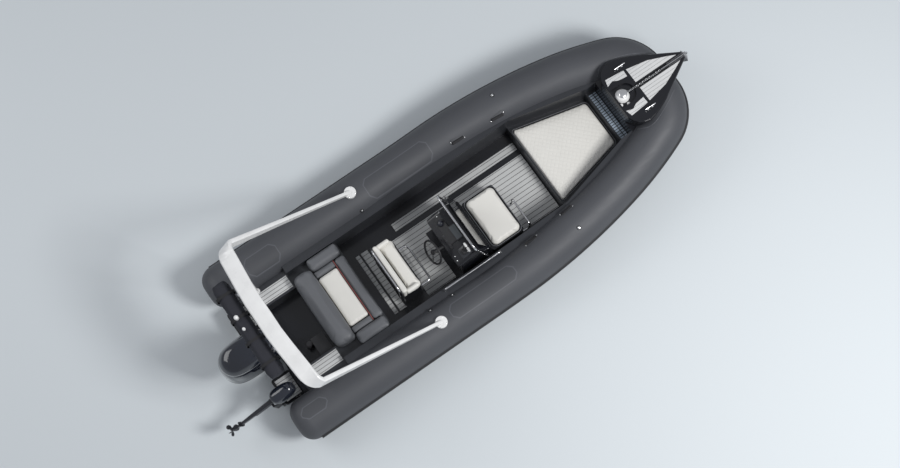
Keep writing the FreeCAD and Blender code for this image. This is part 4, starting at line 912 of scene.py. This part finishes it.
def planks(name, node, keep, finish, pitch, gap, cross=()):
    """Strips on the tops of a solid's mats that lie in a zone, with grooves along the boat."""
    top = copy_of(node, name)
    pick(top, lambda face: face.normal.z < ALIGNED or not keep(face.center))
    bpy.ops.mesh.delete(type="FACE")
    leave()
    across = [point.co.y for point in top.data.vertices]
    first, last = math.ceil(min(across) / pitch), math.floor(max(across) / pitch)
    grooves = [(ACROSS, number * pitch, gap) for number in range(first, last + 1)]
    grooves += [(ALONG, station, width) for station, width in cross]
    for way, middle, width in grooves:
        for place in (middle - width / 2, middle + width / 2):
            everything(top)
            bpy.ops.mesh.bisect(plane_co=way * place, plane_no=way)
            leave()

    def in_groove(face):
        y = face.center.y
        return (abs(y - round(y / pitch) * pitch) < gap / 2
                or any(abs(face.center.x - station) < width / 2 for station, width in cross))

    pick(top, in_groove)
    bpy.ops.mesh.delete(type="FACE")
    bpy.ops.mesh.select_all(action="SELECT")
    bpy.ops.mesh.remove_doubles(threshold=0.0002)
    bpy.ops.mesh.dissolve_limited(angle_limit=math.radians(1))
    leave()
    modify(top, "SOLIDIFY", thickness=FOAM_TOP, offset=1)
    modify(top, "BEVEL", width=0.0008, segments=1, limit_method="ANGLE")
    done(top, finish)
    print(name, len(top.data.polygons), "faces")


GREY_FOAM = plank_finish("grey_foam", (0.52, 0.525, 0.52))
WHITE_FOAM = plank_finish("white_foam", (0.60, 0.605, 0.60))
# The step's planks are the same pale foam as the deck. Their blue-grey colour is painted shade, because the
# step lies in shadow.
STEP_FOAM_PAINTED_SHADE = plank_finish("step_foam_painted_shade", (0.30, 0.36, 0.43))
STEP_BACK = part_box("bow_step")[0][0]
STERN_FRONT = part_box("stern_deck_port")[1][0]
NOSE_LOW, NOSE_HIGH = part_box("nose")
STEP_EDGE, STRIP_WIDTH = 0.022, 0.065
STEP_STRIP = STEP_BACK + STEP_EDGE + STRIP_WIDTH
STEP_GROOVE = 0.012
planks("deck_planks", "deck_mats", lambda point: STERN_FRONT < point.x < STEP_BACK, GREY_FOAM,
       pitch=0.0655, gap=0.007)
planks("stern_planks", "deck_mats", lambda point: point.x < STERN_FRONT, WHITE_FOAM, pitch=0.05, gap=0.006)
planks("step_planks", "deck_mats", lambda point: point.x > STEP_BACK, STEP_FOAM_PAINTED_SHADE, pitch=0.040, gap=STEP_GROOVE,
       cross=[(STEP_STRIP, STEP_GROOVE)])
planks("nose_planks", "nose_pads", lambda point: True, WHITE_FOAM, pitch=0.047, gap=0.0035)

# %% [markdown]
# ## Windlass, chain and cleats
#
# The windlass is a white housing with a steel drum on top. Its chain runs in
# the channel to the anchor, and is modelled as links, because they catch the
# light one by one. Each link stands at a right angle to the next.

# %% Windlass
ENAMEL = moulded("white_enamel", (0.78, 0.78, 0.77), 0.25, grain=8, depth=0.0004,
                 coat_weight=0.5, coat_roughness=0.06)
BRIGHT_STEEL = metal("bright_steel", (0.86, 0.86, 0.86), 0.24)
WINCH_LOW, WINCH_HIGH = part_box("windlass")
WINCH_X = (WINCH_LOW[0] + WINCH_HIGH[0]) / 2
WINCH_FOOT = WINCH_LOW[2]
HOUSING = [(0.098, 0), (0.102, 0.004), (0.102, 0.020), (0.096, 0.030), (0.088, 0.052), (0.074, 0.070),
           (0.058, 0.078)]
DRUM = [(0.056, 0.0775), (0.056, 0.081), (0.044, 0.086), (0.040, 0.096), (0.044, 0.106), (0.060, 0.111),
        (0.061, 0.114), (0.052, 0.122), (0.030, 0.1275), (0.012, 0.1290)]
FOOT_SWITCH = [(0.024, 0), (0.024, 0.006), (0.020, 0.010), (0.014, 0.012)]
FOOT_SWITCH_PLACES = [(-0.085, -0.098), (0.012, -0.135)]
housing = turned("windlass_housing", HOUSING, (WINCH_X, 0, WINCH_FOOT), vertices=40, bevel=0.002)
done(housing, ENAMEL)
drum = turned("windlass_drum", DRUM, (WINCH_X, 0, WINCH_FOOT), vertices=40, bevel=0.001)
done(drum, BRIGHT_STEEL)
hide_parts("windlass")
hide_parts("windlass")
for number, (x, y) in enumerate(FOOT_SWITCH_PLACES):
    button = turned(f"windlass_foot_switch_{number}", FOOT_SWITCH, (WINCH_X + x, y, WINCH_FOOT), vertices=20,
                    bevel=0.001)
    done(button, ENAMEL)

# %% Chain
CHAIN_LOW, CHAIN_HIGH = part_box("anchor_chain")
LINK_WIRE, LINK_HALF, LINK_REACH, LINK_PITCH = 0.0036, 0.0105, 0.008, 0.0275
link = start("chain_link", bpy.ops.mesh.primitive_torus_add, major_radius=LINK_HALF, minor_radius=LINK_WIRE,
             major_segments=16, minor_segments=6)
drawn_out(link, LINK_REACH)
smooth(link, 80)
chain_top = Vector((WINCH_X + 0.066, 0, WINCH_FOOT + 0.070))
chain_knee = Vector((WINCH_X + 0.20, 0, CHAIN_LOW[2] + LINK_HALF))
chain_end = Vector((CHAIN_HIGH[0], 0, CHAIN_LOW[2] + LINK_HALF))
link_places = []
distance = 0.0
for first, last in ((chain_top, chain_knee), (chain_knee, chain_end)):
    along = (last - first).normalized()
    while distance < (last - first).length:
        link_places.append((first + along * distance, along))
        distance += LINK_PITCH
    distance -= (last - first).length
chain_links = copies(link, [place for place, along in link_places[1:]])
link.location = link_places[0][0]
for number, (piece, (place, along)) in enumerate(zip(chain_links, link_places)):
    tip = math.atan2(-along.z, along.x)
    piece.rotation_euler = (math.radians(45 if number % 2 else -45), tip, 0)
    done(piece, GALVANISED)
anchor_chain = joined(chain_links)
anchor_chain.name = anchor_chain.data.name = "anchor_chain_links"
done(anchor_chain, GALVANISED)
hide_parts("anchor_chain")
print("chain:", len(link_places), "links")

# %% Cleats
CLEAT_LOW, CLEAT_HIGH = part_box("bow_cleats")
CLEAT_X = (CLEAT_LOW[0] + CLEAT_HIGH[0]) / 2
CLEAT_HALF = (CLEAT_HIGH[0] - CLEAT_LOW[0]) / 2
HORN_THICK = 0.009
HORN = [(0.003, -CLEAT_HALF), (0.006, -CLEAT_HALF + 0.002), (0.0075, -CLEAT_HALF + 0.012), (0.0095, -0.045),
        (0.0085, 0), (0.0095, 0.045), (0.0075, CLEAT_HALF - 0.012), (0.006, CLEAT_HALF - 0.002),
        (0.003, CLEAT_HALF)]
CLEAT_POST = [(0.019, 0), (0.018, 0.004), (0.011, 0.009), (0.009, 0.020), (0.0095, 0.033)]
POST_AWAY = 0.036
for word, side in SIDES.items():
    cleat_y = side * (CLEAT_HIGH[1] - HORN_THICK)
    horn = turned(f"cleat_horn_{word}", HORN, (CLEAT_X, cleat_y, CLEAT_HIGH[2] - HORN_THICK),
                  (0, QUARTER_TURN, 0), vertices=16)
    done(horn, BRIGHT_STEEL)
    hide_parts("bow_cleats")
    for number, offset in enumerate((-POST_AWAY, POST_AWAY)):
        post = turned(f"cleat_post_{word}_{number}", CLEAT_POST, (CLEAT_X + offset, cleat_y, NOSE_HIGH[2]),
                      vertices=16)
        done(post, BRIGHT_STEEL)
        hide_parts("bow_cleats")

# %% [markdown]
# ## On the tubes
#
# Patches of the same fabric are glued on top of the tubes, with a narrow
# border. A patch is a flat grid above the tube that Shrinkwrap drops onto it.
# A valve stands square to the surface, so a ray is cast down to find the place
# and the direction. A handle's plate lies on the point nearest to its handle.

# %% Drop pieces onto the tubes
TUBES = ["collar_port", "collar_starboard", "collar_bow"]
tube_skin = joined([copy_of(node, f"{node}_skin") for node in TUBES])
PLUMB_HEIGHT = 3.0


def surface(target, x, y):
    """Where a plumb line from above meets a surface, and the surface's direction there."""
    hit, point, normal, index = target.ray_cast((x, y, PLUMB_HEIGHT), (0, 0, -1))
    if not hit:
        raise RuntimeError(f"nothing under {x}, {y}")
    return point, normal


def upright(normal):
    """The turn from +Z to a surface's direction."""
    return normal.to_track_quat("Z", "Y").to_euler()


def stand(piece, target, x, y):
    """Puts a piece made about its own Z onto a surface, square to it."""
    piece.location, normal = surface(target, x, y)
    piece.rotation_euler = upright(normal)
    return piece


def drop(piece, lift):
    """Drops a sheet or a cord onto the tubes."""
    modify(piece, "SHRINKWRAP", target=tube_skin, wrap_method="PROJECT", use_project_x=False,
           use_project_y=False, use_project_z=True, use_negative_direction=True,
           use_positive_direction=False, offset=lift)


# %% Patches
PATCHES = {
    "port": ((2.60, 0.855), (3.67, 1.17)),
    "starboard": ((2.57, -1.21), (3.64, -0.97)),
    "port_aft": ((0.62, 0.88), (1.14, 1.16)),
    "starboard_aft": ((0.14, -1.18), (0.55, -0.99)),
}
ABOVE_TUBES = 2.0
PATCH_THICKNESS = 0.0012
BORDER = 0.014
BORDER_FABRIC = coated_fabric("coated_fabric_border", shade(TUBE_GREY, 1.5))


def patch(name, low, high, finish, corner, lift):
    """A glued sheet with cut corners that follows the tube."""
    sheet = start(name, bpy.ops.mesh.primitive_grid_add, (*low, ABOVE_TUBES), (*high, ABOVE_TUBES),
                  x_subdivisions=36, y_subdivisions=18, size=1)
    bpy.ops.object.transform_apply(location=True, rotation=False, scale=False)
    for along in (1, -1):
        for across in (1, -1):
            x = (high[0] if along > 0 else low[0]) - along * corner / 2
            y = (high[1] if across > 0 else low[1]) - across * corner / 2
            everything(sheet)
            bpy.ops.mesh.bisect(plane_co=(x, y, ABOVE_TUBES), plane_no=(along, across, 0), clear_outer=True)
            leave()
    drop(sheet, lift)
    modify(sheet, "SOLIDIFY", thickness=PATCH_THICKNESS, offset=1)
    smooth(sheet, 30)
    done(sheet, finish)


for word, (low, high) in PATCHES.items():
    patch(f"tube_patch_{word}", low, high, BORDER_FABRIC, corner=0.07, lift=0.0004)
    inner_low = (low[0] + BORDER, low[1] + BORDER)
    inner_high = (high[0] - BORDER, high[1] - BORDER)
    patch(f"tube_patch_top_{word}", inner_low, inner_high, PATCH_FABRIC, corner=0.065, lift=0.0018)

# %% Valves
VALVES = [(4.80, 1.10), (4.67, -1.13), (2.402, 0.845), (2.38, -0.875), (2.748, -0.872)]
VALVE_RIM = [(0.030, 0.0), (0.031, 0.003), (0.029, 0.006), (0.022, 0.007)]
VALVE_CAP = [(0.019, 0.006), (0.019, 0.011), (0.016, 0.013), (0.007, 0.0135), (0.006, 0.017), (0.003, 0.018)]
for number, (x, y) in enumerate(VALVES):
    rim = turned(f"valve_rim_{number}", VALVE_RIM, vertices=28, bevel=0.0008)
    done(stand(rim, tube_skin, x, y), BLACK_PLASTIC)
    cap = turned(f"valve_cap_{number}", VALVE_CAP, vertices=20, bevel=0.0006)
    done(stand(cap, tube_skin, x, y), BRIGHT_STEEL)

# %% Handles' plates
PLATE_RADIUS, PLATE_THICKNESS, PLATE_REACH = 0.045, 0.004, 0.075
STUD = [(0.011, 0), (0.011, 0.003), (0.008, 0.006), (0.004, 0.007)]
STUD_AWAY = 0.105
handle_blocks = copy_of("tube_handles", "handle_finder")
only(handle_blocks)
bpy.ops.object.mode_set(mode="EDIT")
bpy.ops.mesh.separate(type="LOOSE")
leave()
finders = list(bpy.context.selected_objects)
for number, finder in enumerate(finders):
    corners = [Vector(point.co) for point in finder.data.vertices]
    middle = sum(corners, Vector()) / len(corners)
    hit, point, normal, index = tube_skin.closest_point_on_mesh(middle)
    plate = start(f"handle_plate_{number}", bpy.ops.mesh.primitive_cylinder_add, vertices=28,
                  radius=PLATE_RADIUS, depth=PLATE_THICKNESS)
    drawn_out(plate, PLATE_REACH)
    modify(plate, "BEVEL", width=0.0012, segments=2, limit_method="ANGLE")
    length = max(corners, key=lambda corner: corner.x) - min(corners, key=lambda corner: corner.x)
    along = (length - normal * length.dot(normal)).normalized()
    turn = Matrix((along, normal.cross(along), normal)).transposed().to_4x4()
    plate.matrix_world = Matrix.Translation(point + normal * 0.001) @ turn
    smooth(plate)
    done(plate, PATCH_FABRIC)
    for word, end in (("aft", -1), ("fore", 1)):
        stud = turned(f"handle_stud_{number}_{word}", STUD, vertices=16)
        stud.matrix_world = Matrix.Translation(point + along * (end * STUD_AWAY) + normal * 0.003) @ turn
        done(stud, BRIGHT_STEEL)
bpy.ops.object.select_all(action="DESELECT")
for finder in finders:
    finder.select_set(True)
bpy.ops.object.delete()

# %% [markdown]
# ## Bead round the bow moulding
#
# A taped seam runs on the tubes round the bow moulding. It is a smooth line
# through a few points beside the moulding's outline, and is dropped onto the
# tubes too.

# %% Bead
NOSE_REACH, NOSE_HALF = 1.180, 0.5
NOSE_LINE = [(0.05, 0.82), (0.13, 0.965), (0.20, 1.0), (0.29, 0.955), (0.39, 0.87), (0.49, 0.765),
             (0.58, 0.65), (0.66, 0.54)]
BEAD_AWAY = 0.055
BEAD_START_HEIGHT = 1.6
for word, side in SIDES.items():
    route = [(NOSE_LOW[0] + share * NOSE_REACH, side * (width * NOSE_HALF + BEAD_AWAY), BEAD_START_HEIGHT)
             for share, width in NOSE_LINE]
    bead = bent(f"bow_bead_{word}", route, 0.006)
    modify(bead, "SUBSURF", levels=1, render_levels=1)
    drop(bead, 0.001)
    modify(bead, "SOLIDIFY", thickness=0.003, offset=1)
    smooth(bead)
    done(bead, BORDER_FABRIC)

# %% [markdown]
# ## Helm
#
# On the sloping top of the console stand a display, a compass under a dark
# dome, a double engine lever, a row of switches and a few bright knobs. Each is
# set on the console's surface where the picture shows it.

# %% Display, compass and knobs
DARK_GLASS = moulded("dark_glass", (0.008, 0.010, 0.020), 0.06, grain=4, depth=0.0001,
                     coat_weight=1.0, coat_roughness=0.03)
DISPLAY_GLASS = moulded("display_glass", (0.075, 0.085, 0.092), 0.12, grain=3, depth=0.0001,
                        coat_weight=0.8, coat_roughness=0.03)
CONSOLE = NODES["console"]


def lying(name, low, high, finish, rounding, thickness, lift=0.0):
    """A rounded plate on the console's top, tilted as the top is."""
    point, normal = surface(CONSOLE, (low[0] + high[0]) / 2, (low[1] + high[1]) / 2)
    half_x, half_y = (high[0] - low[0]) / 2, (high[1] - low[1]) / 2
    plate = bevelled(name, (-half_x, -half_y, lift), (half_x, half_y, lift + thickness), rounding)
    tilt = Matrix.Rotation(math.atan2(normal.x, normal.z), 4, "Y")
    plate.matrix_world = Matrix.Translation(point) @ tilt @ plate.matrix_world
    done(plate, finish)


lying("display_housing", (3.185, -0.365), (3.300, -0.130), BLACK_PLASTIC, rounding=0.006, thickness=0.022)
lying("display_screen", (3.196, -0.350), (3.289, -0.145), DISPLAY_GLASS, rounding=0.002, thickness=0.003,
      lift=0.021)
lying("switch_panel", (3.060, -0.405), (3.105, -0.175), BLACK_PLASTIC, rounding=0.004, thickness=0.008)
SWITCH_START, SWITCH_PITCH, SWITCH_HALF = -0.385, 0.038, 0.011
for number in range(6):
    y = SWITCH_START + SWITCH_PITCH * number
    lying(f"rocker_switch_{number}", (3.070, y - SWITCH_HALF), (3.095, y + SWITCH_HALF),
          GREY_GELCOAT if number % 2 else BLACK_PLASTIC, rounding=0.002, thickness=0.006, lift=0.007)
COMPASS_PLACE = (3.153, -0.032)
COMPASS_BASE = [(0.056, -0.006), (0.056, 0.010), (0.050, 0.020), (0.046, 0.022)]
COMPASS_DOME = [(0.044, 0.021), (0.0435, 0.030), (0.040, 0.041), (0.033, 0.051), (0.023, 0.058),
                (0.012, 0.0615), (0.003, 0.0625)]
compass_base = turned("compass_base", COMPASS_BASE, vertices=36, bevel=0.001)
done(stand(compass_base, CONSOLE, *COMPASS_PLACE), BLACK_PLASTIC)
compass_dome = turned("compass_dome", COMPASS_DOME, vertices=36)
done(stand(compass_dome, CONSOLE, *COMPASS_PLACE), DARK_GLASS)
KNOB = [(0.011, -0.001), (0.011, 0.005), (0.008, 0.008), (0.009, 0.014), (0.006, 0.017)]
KNOB_PLACES = [(3.212, 0.104), (3.158, 0.076), (3.052, -0.509), (3.045, -0.576), (3.40, -0.232)]
for number, (x, y) in enumerate(KNOB_PLACES):
    knob = turned(f"helm_knob_{number}", KNOB, vertices=18, bevel=0.0006)
    done(stand(knob, CONSOLE, x, y), BRIGHT_STEEL)

# %% Engine lever
LEVER_X, LEVER_Y = 3.195, -0.535
LEVER_Z = surface(CONSOLE, LEVER_X, LEVER_Y)[0].z
GRIP = [(0.008, -0.036), (0.014, -0.032), (0.017, -0.018), (0.018, 0.0), (0.017, 0.018), (0.014, 0.030),
        (0.007, 0.034)]
lying("lever_plate", (LEVER_X - 0.085, LEVER_Y - 0.075), (LEVER_X + 0.090, LEVER_Y + 0.075), GREY_GELCOAT,
      rounding=0.008, thickness=0.012)
lever_box = bevelled("lever_box", (LEVER_X - 0.055, LEVER_Y - 0.038, LEVER_Z - 0.010),
                     (LEVER_X + 0.055, LEVER_Y + 0.038, LEVER_Z + 0.055), width=0.018, segments=4)
done(lever_box, BLACK_PLASTIC)
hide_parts("throttle")
for word, side in reversed(SIDES.items()):
    arm = bent(f"lever_arm_{word}", [(LEVER_X, LEVER_Y + side * 0.040, LEVER_Z + 0.030),
                                     (LEVER_X + 0.010, LEVER_Y + side * 0.046, LEVER_Z + 0.080),
                                     (LEVER_X + 0.030, LEVER_Y + side * 0.042, LEVER_Z + 0.125)],
               radius=0.0075, sides=12)
    done(arm, BRIGHT_STEEL)
    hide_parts("throttle")
    grip = turned(f"lever_grip_{word}", GRIP, (LEVER_X + 0.034, LEVER_Y + side * 0.038, LEVER_Z + 0.135),
                  (QUARTER_TURN, 0, 0), vertices=20)
    done(grip, ENAMEL)
    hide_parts("throttle")

# %% [markdown]
# ## Steering wheel
#
# The wheel has a padded black rim, three pressed steel spokes and a boss. It is
# modelled flat about the Z axis and then turned onto the axis of its joint, so
# that it keeps its middle as it turns.

# %% Wheel
WHEEL_JOINT = next(joint for joint in frame["joints"] if joint["name"] == "wheel_turn")
GRIP_LEATHER = vinyl("grip_leather", (0.014, 0.014, 0.016))
WHEEL_RADIUS = 0.175
RIM_SEGMENTS = 72
GROOVE_EVERY, GROOVE_SIZE = 6, 1.012
BOSS = [(0.033, -0.026), (0.036, -0.020), (0.038, 0.0), (0.036, 0.010), (0.028, 0.017), (0.012, 0.020),
        (0.003, 0.0205)]
SPOKE_HALF, SPOKE_TAPER = 0.015, 0.62


def at_finger_groove(point):
    """True on the rim's inner side, at every sixth of its segments."""
    degrees = math.degrees(math.atan2(point.co.y, point.co.x))
    return (math.hypot(point.co.x, point.co.y) < WHEEL_RADIUS
            and round(degrees / (360 / RIM_SEGMENTS)) % GROOVE_EVERY == 0)


rim = start("wheel_rim", bpy.ops.mesh.primitive_torus_add, major_radius=WHEEL_RADIUS, minor_radius=0.0148,
            major_segments=RIM_SEGMENTS, minor_segments=14)
stretch(rim, at_finger_groove, (GROOVE_SIZE, GROOVE_SIZE, 1.0))
modify(rim, "SUBSURF", levels=1, render_levels=1)
boss = turned("wheel_boss", BOSS)
wheel_pieces = [(rim, GRIP_LEATHER), (boss, BLACK_PLASTIC)]
spoke = block("wheel_spoke", (0.030, -SPOKE_HALF, -0.004), (WHEEL_RADIUS - 0.006, SPOKE_HALF, 0.002))
recess(spoke, lambda face: face.normal.z > ALIGNED, 0.004, (0, 0, -0.0018))
stretch(spoke, lambda point: point.co.x > 0, (1, SPOKE_TAPER, 1), center_override=(0, 0, 0))
modify(spoke, "BEVEL", width=0.0012, segments=2)
smooth(spoke)
settle(spoke)
for number, piece in enumerate(copies(spoke, [(0, 0, 0), (0, 0, 0)])):
    piece.rotation_euler = (0, 0, math.radians(60 + 120 * number))
    settle(piece)
    wheel_pieces.append((piece, BRUSHED_STEEL))
for piece, finish in wheel_pieces:
    piece.rotation_euler = upright(Vector(WHEEL_JOINT["axis"]))
    piece.location = WHEEL_JOINT["pos_m"]
    smooth(piece)
    done(piece, finish, "helm_wheel")
    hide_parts("steering_wheel")

# %% [markdown]
# ## Helm seat arms and shell
#
# The backrest wraps round the seat: it ends in two short cream arms, and a thin
# black shell carries it from behind.

# %% Arms and shell
HELM_MIDDLE = (HELM_LOW[1] + HELM_HIGH[1]) / 2
HELM_HALF = (HELM_HIGH[1] - HELM_LOW[1]) / 2
ARM_WIDTH = 0.062
for word, side in SIDES.items():
    outer = HELM_MIDDLE + side * (HELM_HALF - 0.004)
    y0, y1 = sorted((outer, outer - side * ARM_WIDTH))
    arm = cushion(f"helm_seat_arm_{word}", (BACK_HIGH[0] - 0.02, y0, HELM_HIGH[2] - 0.03),
                  (BACK_HIGH[0] + 0.185, y1, HELM_HIGH[2] + 0.075), corner=0.026, edge=0.022)
    upholster(arm, CREAM_VINYL, "helm_seat_back", fill=0.8, cap=0.008)
shell = block("helm_seat_shell", (BACK_LOW[0] - 0.006, BACK_LOW[1] + 0.002, BACK_LOW[2] - 0.05),
              (BACK_LOW[0] + 0.012, BACK_HIGH[1] - 0.002, BACK_HIGH[2] - 0.012))
round_along(shell, X, 0.045, 6)
recess(shell, lambda face: face.normal.x < -ALIGNED, 0.02, (0.004, 0, 0))
modify(shell, "BEVEL", width=0.002, segments=2, limit_method="ANGLE")
smooth(shell)
done(shell, BLACK_PLASTIC)

# %% [markdown]
# ## Motors
#
# A cowl is a shell clipped onto a tray, so a seam runs round it, with a dark
# rubber lip. The lip is the cowl's own outline at that level: a copy of the
# solid is cut just above and just below the seam, and the ring that is left is
# thickened. A bright trim, intake slats and screws finish the main motor, and
# ride with it as it steers and tilts.

# %% Cowl lips
COWL_LOW, COWL_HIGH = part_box("motor_cowl")


def cowl_lip(name, level, finish, height, lift):
    """A band round the main motor's cowl at one level, made from the cowl's own surface."""
    band = copy_of("motor_cowl", name)
    for place, way in ((level - height / 2, -1), (level + height / 2, 1)):
        everything(band)
        bpy.ops.mesh.bisect(plane_co=(0, 0, place), plane_no=(0, 0, way), clear_outer=True)
        leave()
    modify(band, "SOLIDIFY", thickness=lift, offset=1)
    outward(band)
    smooth(band)
    print(name, len(band.data.polygons), "faces")
    done(band, finish, "motor")


LIP_UP, TRIM_DOWN = 0.155, 0.130
cowl_lip("motor_lip", COWL_LOW[2] + LIP_UP, BLACK_PLASTIC, height=0.010, lift=0.0025)
cowl_lip("motor_trim", COWL_HIGH[2] - TRIM_DOWN, BRUSHED_STEEL, height=0.016, lift=0.0015)

# %% Intake slats and screws
SLAT_COUNT, SLAT_START, SLAT_PITCH = 6, 0.02, 0.020
SLAT_LEVEL = COWL_HIGH[2] - 0.185
SLAT_LOW, SLAT_HIGH = (-0.004, -0.028, -0.003), (0.004, 0.028, 0.0025)
SCREW_HEAD = [(0.010, -0.001), (0.010, 0.003), (0.007, 0.005)]
SCREW_X, SCREW_Z = -0.06, -0.05
FAR_OUT = 1.0


def beside(node, x, z, side):
    """Where a level line from the side meets a solid, and the surface's direction there."""
    hit, point, normal, index = NODES[node].ray_cast((x, side * FAR_OUT, z), (0, -side, 0))
    return point, normal


for word, side in SIDES.items():
    for number in range(SLAT_COUNT):
        point, normal = beside("motor_cowl", SLAT_START + SLAT_PITCH * number, SLAT_LEVEL, side)
        slat = bevelled(f"motor_slat_{word}_{number}", SLAT_LOW, SLAT_HIGH, width=0.002, segments=2)
        slat.matrix_world = Matrix.Translation(point) @ upright(normal).to_matrix().to_4x4()
        done(slat, BLACK_PLASTIC, "motor")

for word, side in SIDES.items():
    point, normal = beside("motor_leg", SCREW_X, SCREW_Z, side)
    screw = turned(f"motor_screw_head_{word}_1", SCREW_HEAD, point, upright(normal), vertices=18,
                   bevel=0.0006)
    done(screw, BRUSHED_STEEL, "motor")

# %% [markdown]
# ## Arch fittings
#
# Thin cords tie the boot towards the beam, as short loops that are evenly
# spaced. The arch's feet and posts end in turned flanges, each with four screws.

# %% Ties between boot and beam
TIE_COUNT = 13
TIE_INSET = 0.10
TIE_FROM, TIE_TO = BOOT_LOW[1] + TIE_INSET, BOOT_HIGH[1] - TIE_INSET
TIE_RADIUS = 0.0032
for number in range(TIE_COUNT):
    y = TIE_FROM + (TIE_TO - TIE_FROM) * number / (TIE_COUNT - 1)
    tie = bent(f"boot_tie_{number}", [(BOOT_HIGH[0] - 0.060, y - 0.008, BOOT_HIGH[2] - 0.022),
                                      (BOOT_HIGH[0] - 0.036, y - 0.003, BOOT_HIGH[2] - 0.010),
                                      (BOOT_HIGH[0] - 0.018, y + 0.003, BOOT_HIGH[2] - 0.026),
                                      (BOOT_HIGH[0] - 0.020, y + 0.008, BOOT_HIGH[2] - 0.065)], TIE_RADIUS)
    done(tie, WEBBING.material)

# %% Feet and posts of the arch
FOOT_X, FOOT_Y, FOOT_TOP = 2.400, 1.110, 0.758
POST_X, POST_Y, POST_FOOT = 0.575, 0.760, 0.440
FOOT_CAP = [(0.084, -0.004), (0.085, 0.001), (0.083, 0.005), (0.074, 0.0065)]
POST_FLANGE = [(0.048, 0.0), (0.049, 0.003), (0.046, 0.006), (0.030, 0.008), (0.027, 0.016)]
ARCH_SCREWS = {
    "foot": (FOOT_X, FOOT_Y, FOOT_TOP + 0.006, 0.072, 0.0065),
    "post": (POST_X, POST_Y, POST_FOOT + 0.0065, 0.038, 0.005),
}
for word, side in SIDES.items():
    foot_cap = turned(f"arch_foot_cap_{word}", FOOT_CAP, (FOOT_X, side * FOOT_Y, FOOT_TOP), vertices=48,
                      bevel=0.0008)
    done(foot_cap, ARCH_LACQUER)
    flange = turned(f"arch_post_flange_{word}", POST_FLANGE, (POST_X, side * POST_Y, POST_FOOT), vertices=36,
                    bevel=0.0006)
    done(flange, ARCH_LACQUER)
    for number in range(4):
        turn = QUARTER_TURN * (number + 0.5)
        for name, (x, y, level, circle, size) in ARCH_SCREWS.items():
            place = (x + circle * math.cos(turn), side * y + circle * math.sin(turn), level)
            profile = [(size, 0), (size, 0.0012), (size * 0.6, 0.003)]
            head = turned(f"arch_{name}_screw_{word}_{number}", profile, place, vertices=14)
            done(head, BRIGHT_STEEL)

# %% Small lamp beside the stern light
LAMP_LOW, LAMP_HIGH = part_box("stern_light")
LAMP_X, LAMP_Y = (LAMP_LOW[0] + LAMP_HIGH[0]) / 2, 0.03
LENS = [(0.022, -0.006), (0.022, 0.016), (0.020, 0.020), (0.019, 0.044), (0.014, 0.052), (0.005, 0.055)]
lens = turned("stern_lamp_lens", LENS, (LAMP_X, LAMP_Y, LAMP_LOW[2]), vertices=28, bevel=0.0008)
done(lens, ENAMEL)

# %% Take the tubes' skin away
only(tube_skin)
bpy.ops.object.delete()

# %% [markdown]
# ## Water, light and background
#
# The boat floats, so the floor lies at its waterline and hides what is under
# water. It is pale and plain. A wide soft lamp stands to the right, as the sun
# does in the picture, and a second, weaker one fills from the other side.

# %% Floor
FLOOR_SIZE = 60
FLOOR_PLACE = (3.5, 0, 0)
FLOOR_COLOR = (0.62, 0.66, 0.68)


def add_floor():
    """A wide plane at the waterline, on which the boat's shadow falls."""
    bpy.ops.object.select_all(action="DESELECT")
    bpy.ops.mesh.primitive_plane_add(size=FLOOR_SIZE, location=FLOOR_PLACE)
    floor = bpy.context.object
    floor.name = "floor"
    floor.data.materials.append(Finish("pale_floor", FLOOR_COLOR, 0.7).material)


add_floor()


# %% Lamps and world
BOAT_MIDDLE = Vector((3.2, 0, 0.3))
SKY_COLOR = (0.9, 0.93, 1.0, 1.0)
SKY_STRENGTH = 0.40


def add_lamp(name, place, size, watts):
    """A square lamp aimed at the boat's middle."""
    bpy.ops.object.light_add(type="AREA", location=place)
    lamp = bpy.context.object
    lamp.name = name
    lamp.data.size = size
    lamp.data.energy = watts
    aim = BOAT_MIDDLE - Vector(place)
    lamp.rotation_euler = aim.to_track_quat("-Z", "Y").to_euler()


add_lamp("key", (9.0, -9.0, 13.0), 4.0, 1900)
add_lamp("fill", (-6.0, 8.0, 11.0), 8.0, 500)
world = bpy.data.worlds.new("studio")
bpy.context.scene.world = world
world.use_nodes = True
background = world.node_tree.nodes["Background"]
background.inputs["Color"].default_value = SKY_COLOR
background.inputs["Strength"].default_value = SKY_STRENGTH
bpy.context.scene.view_settings.view_transform = "Standard"
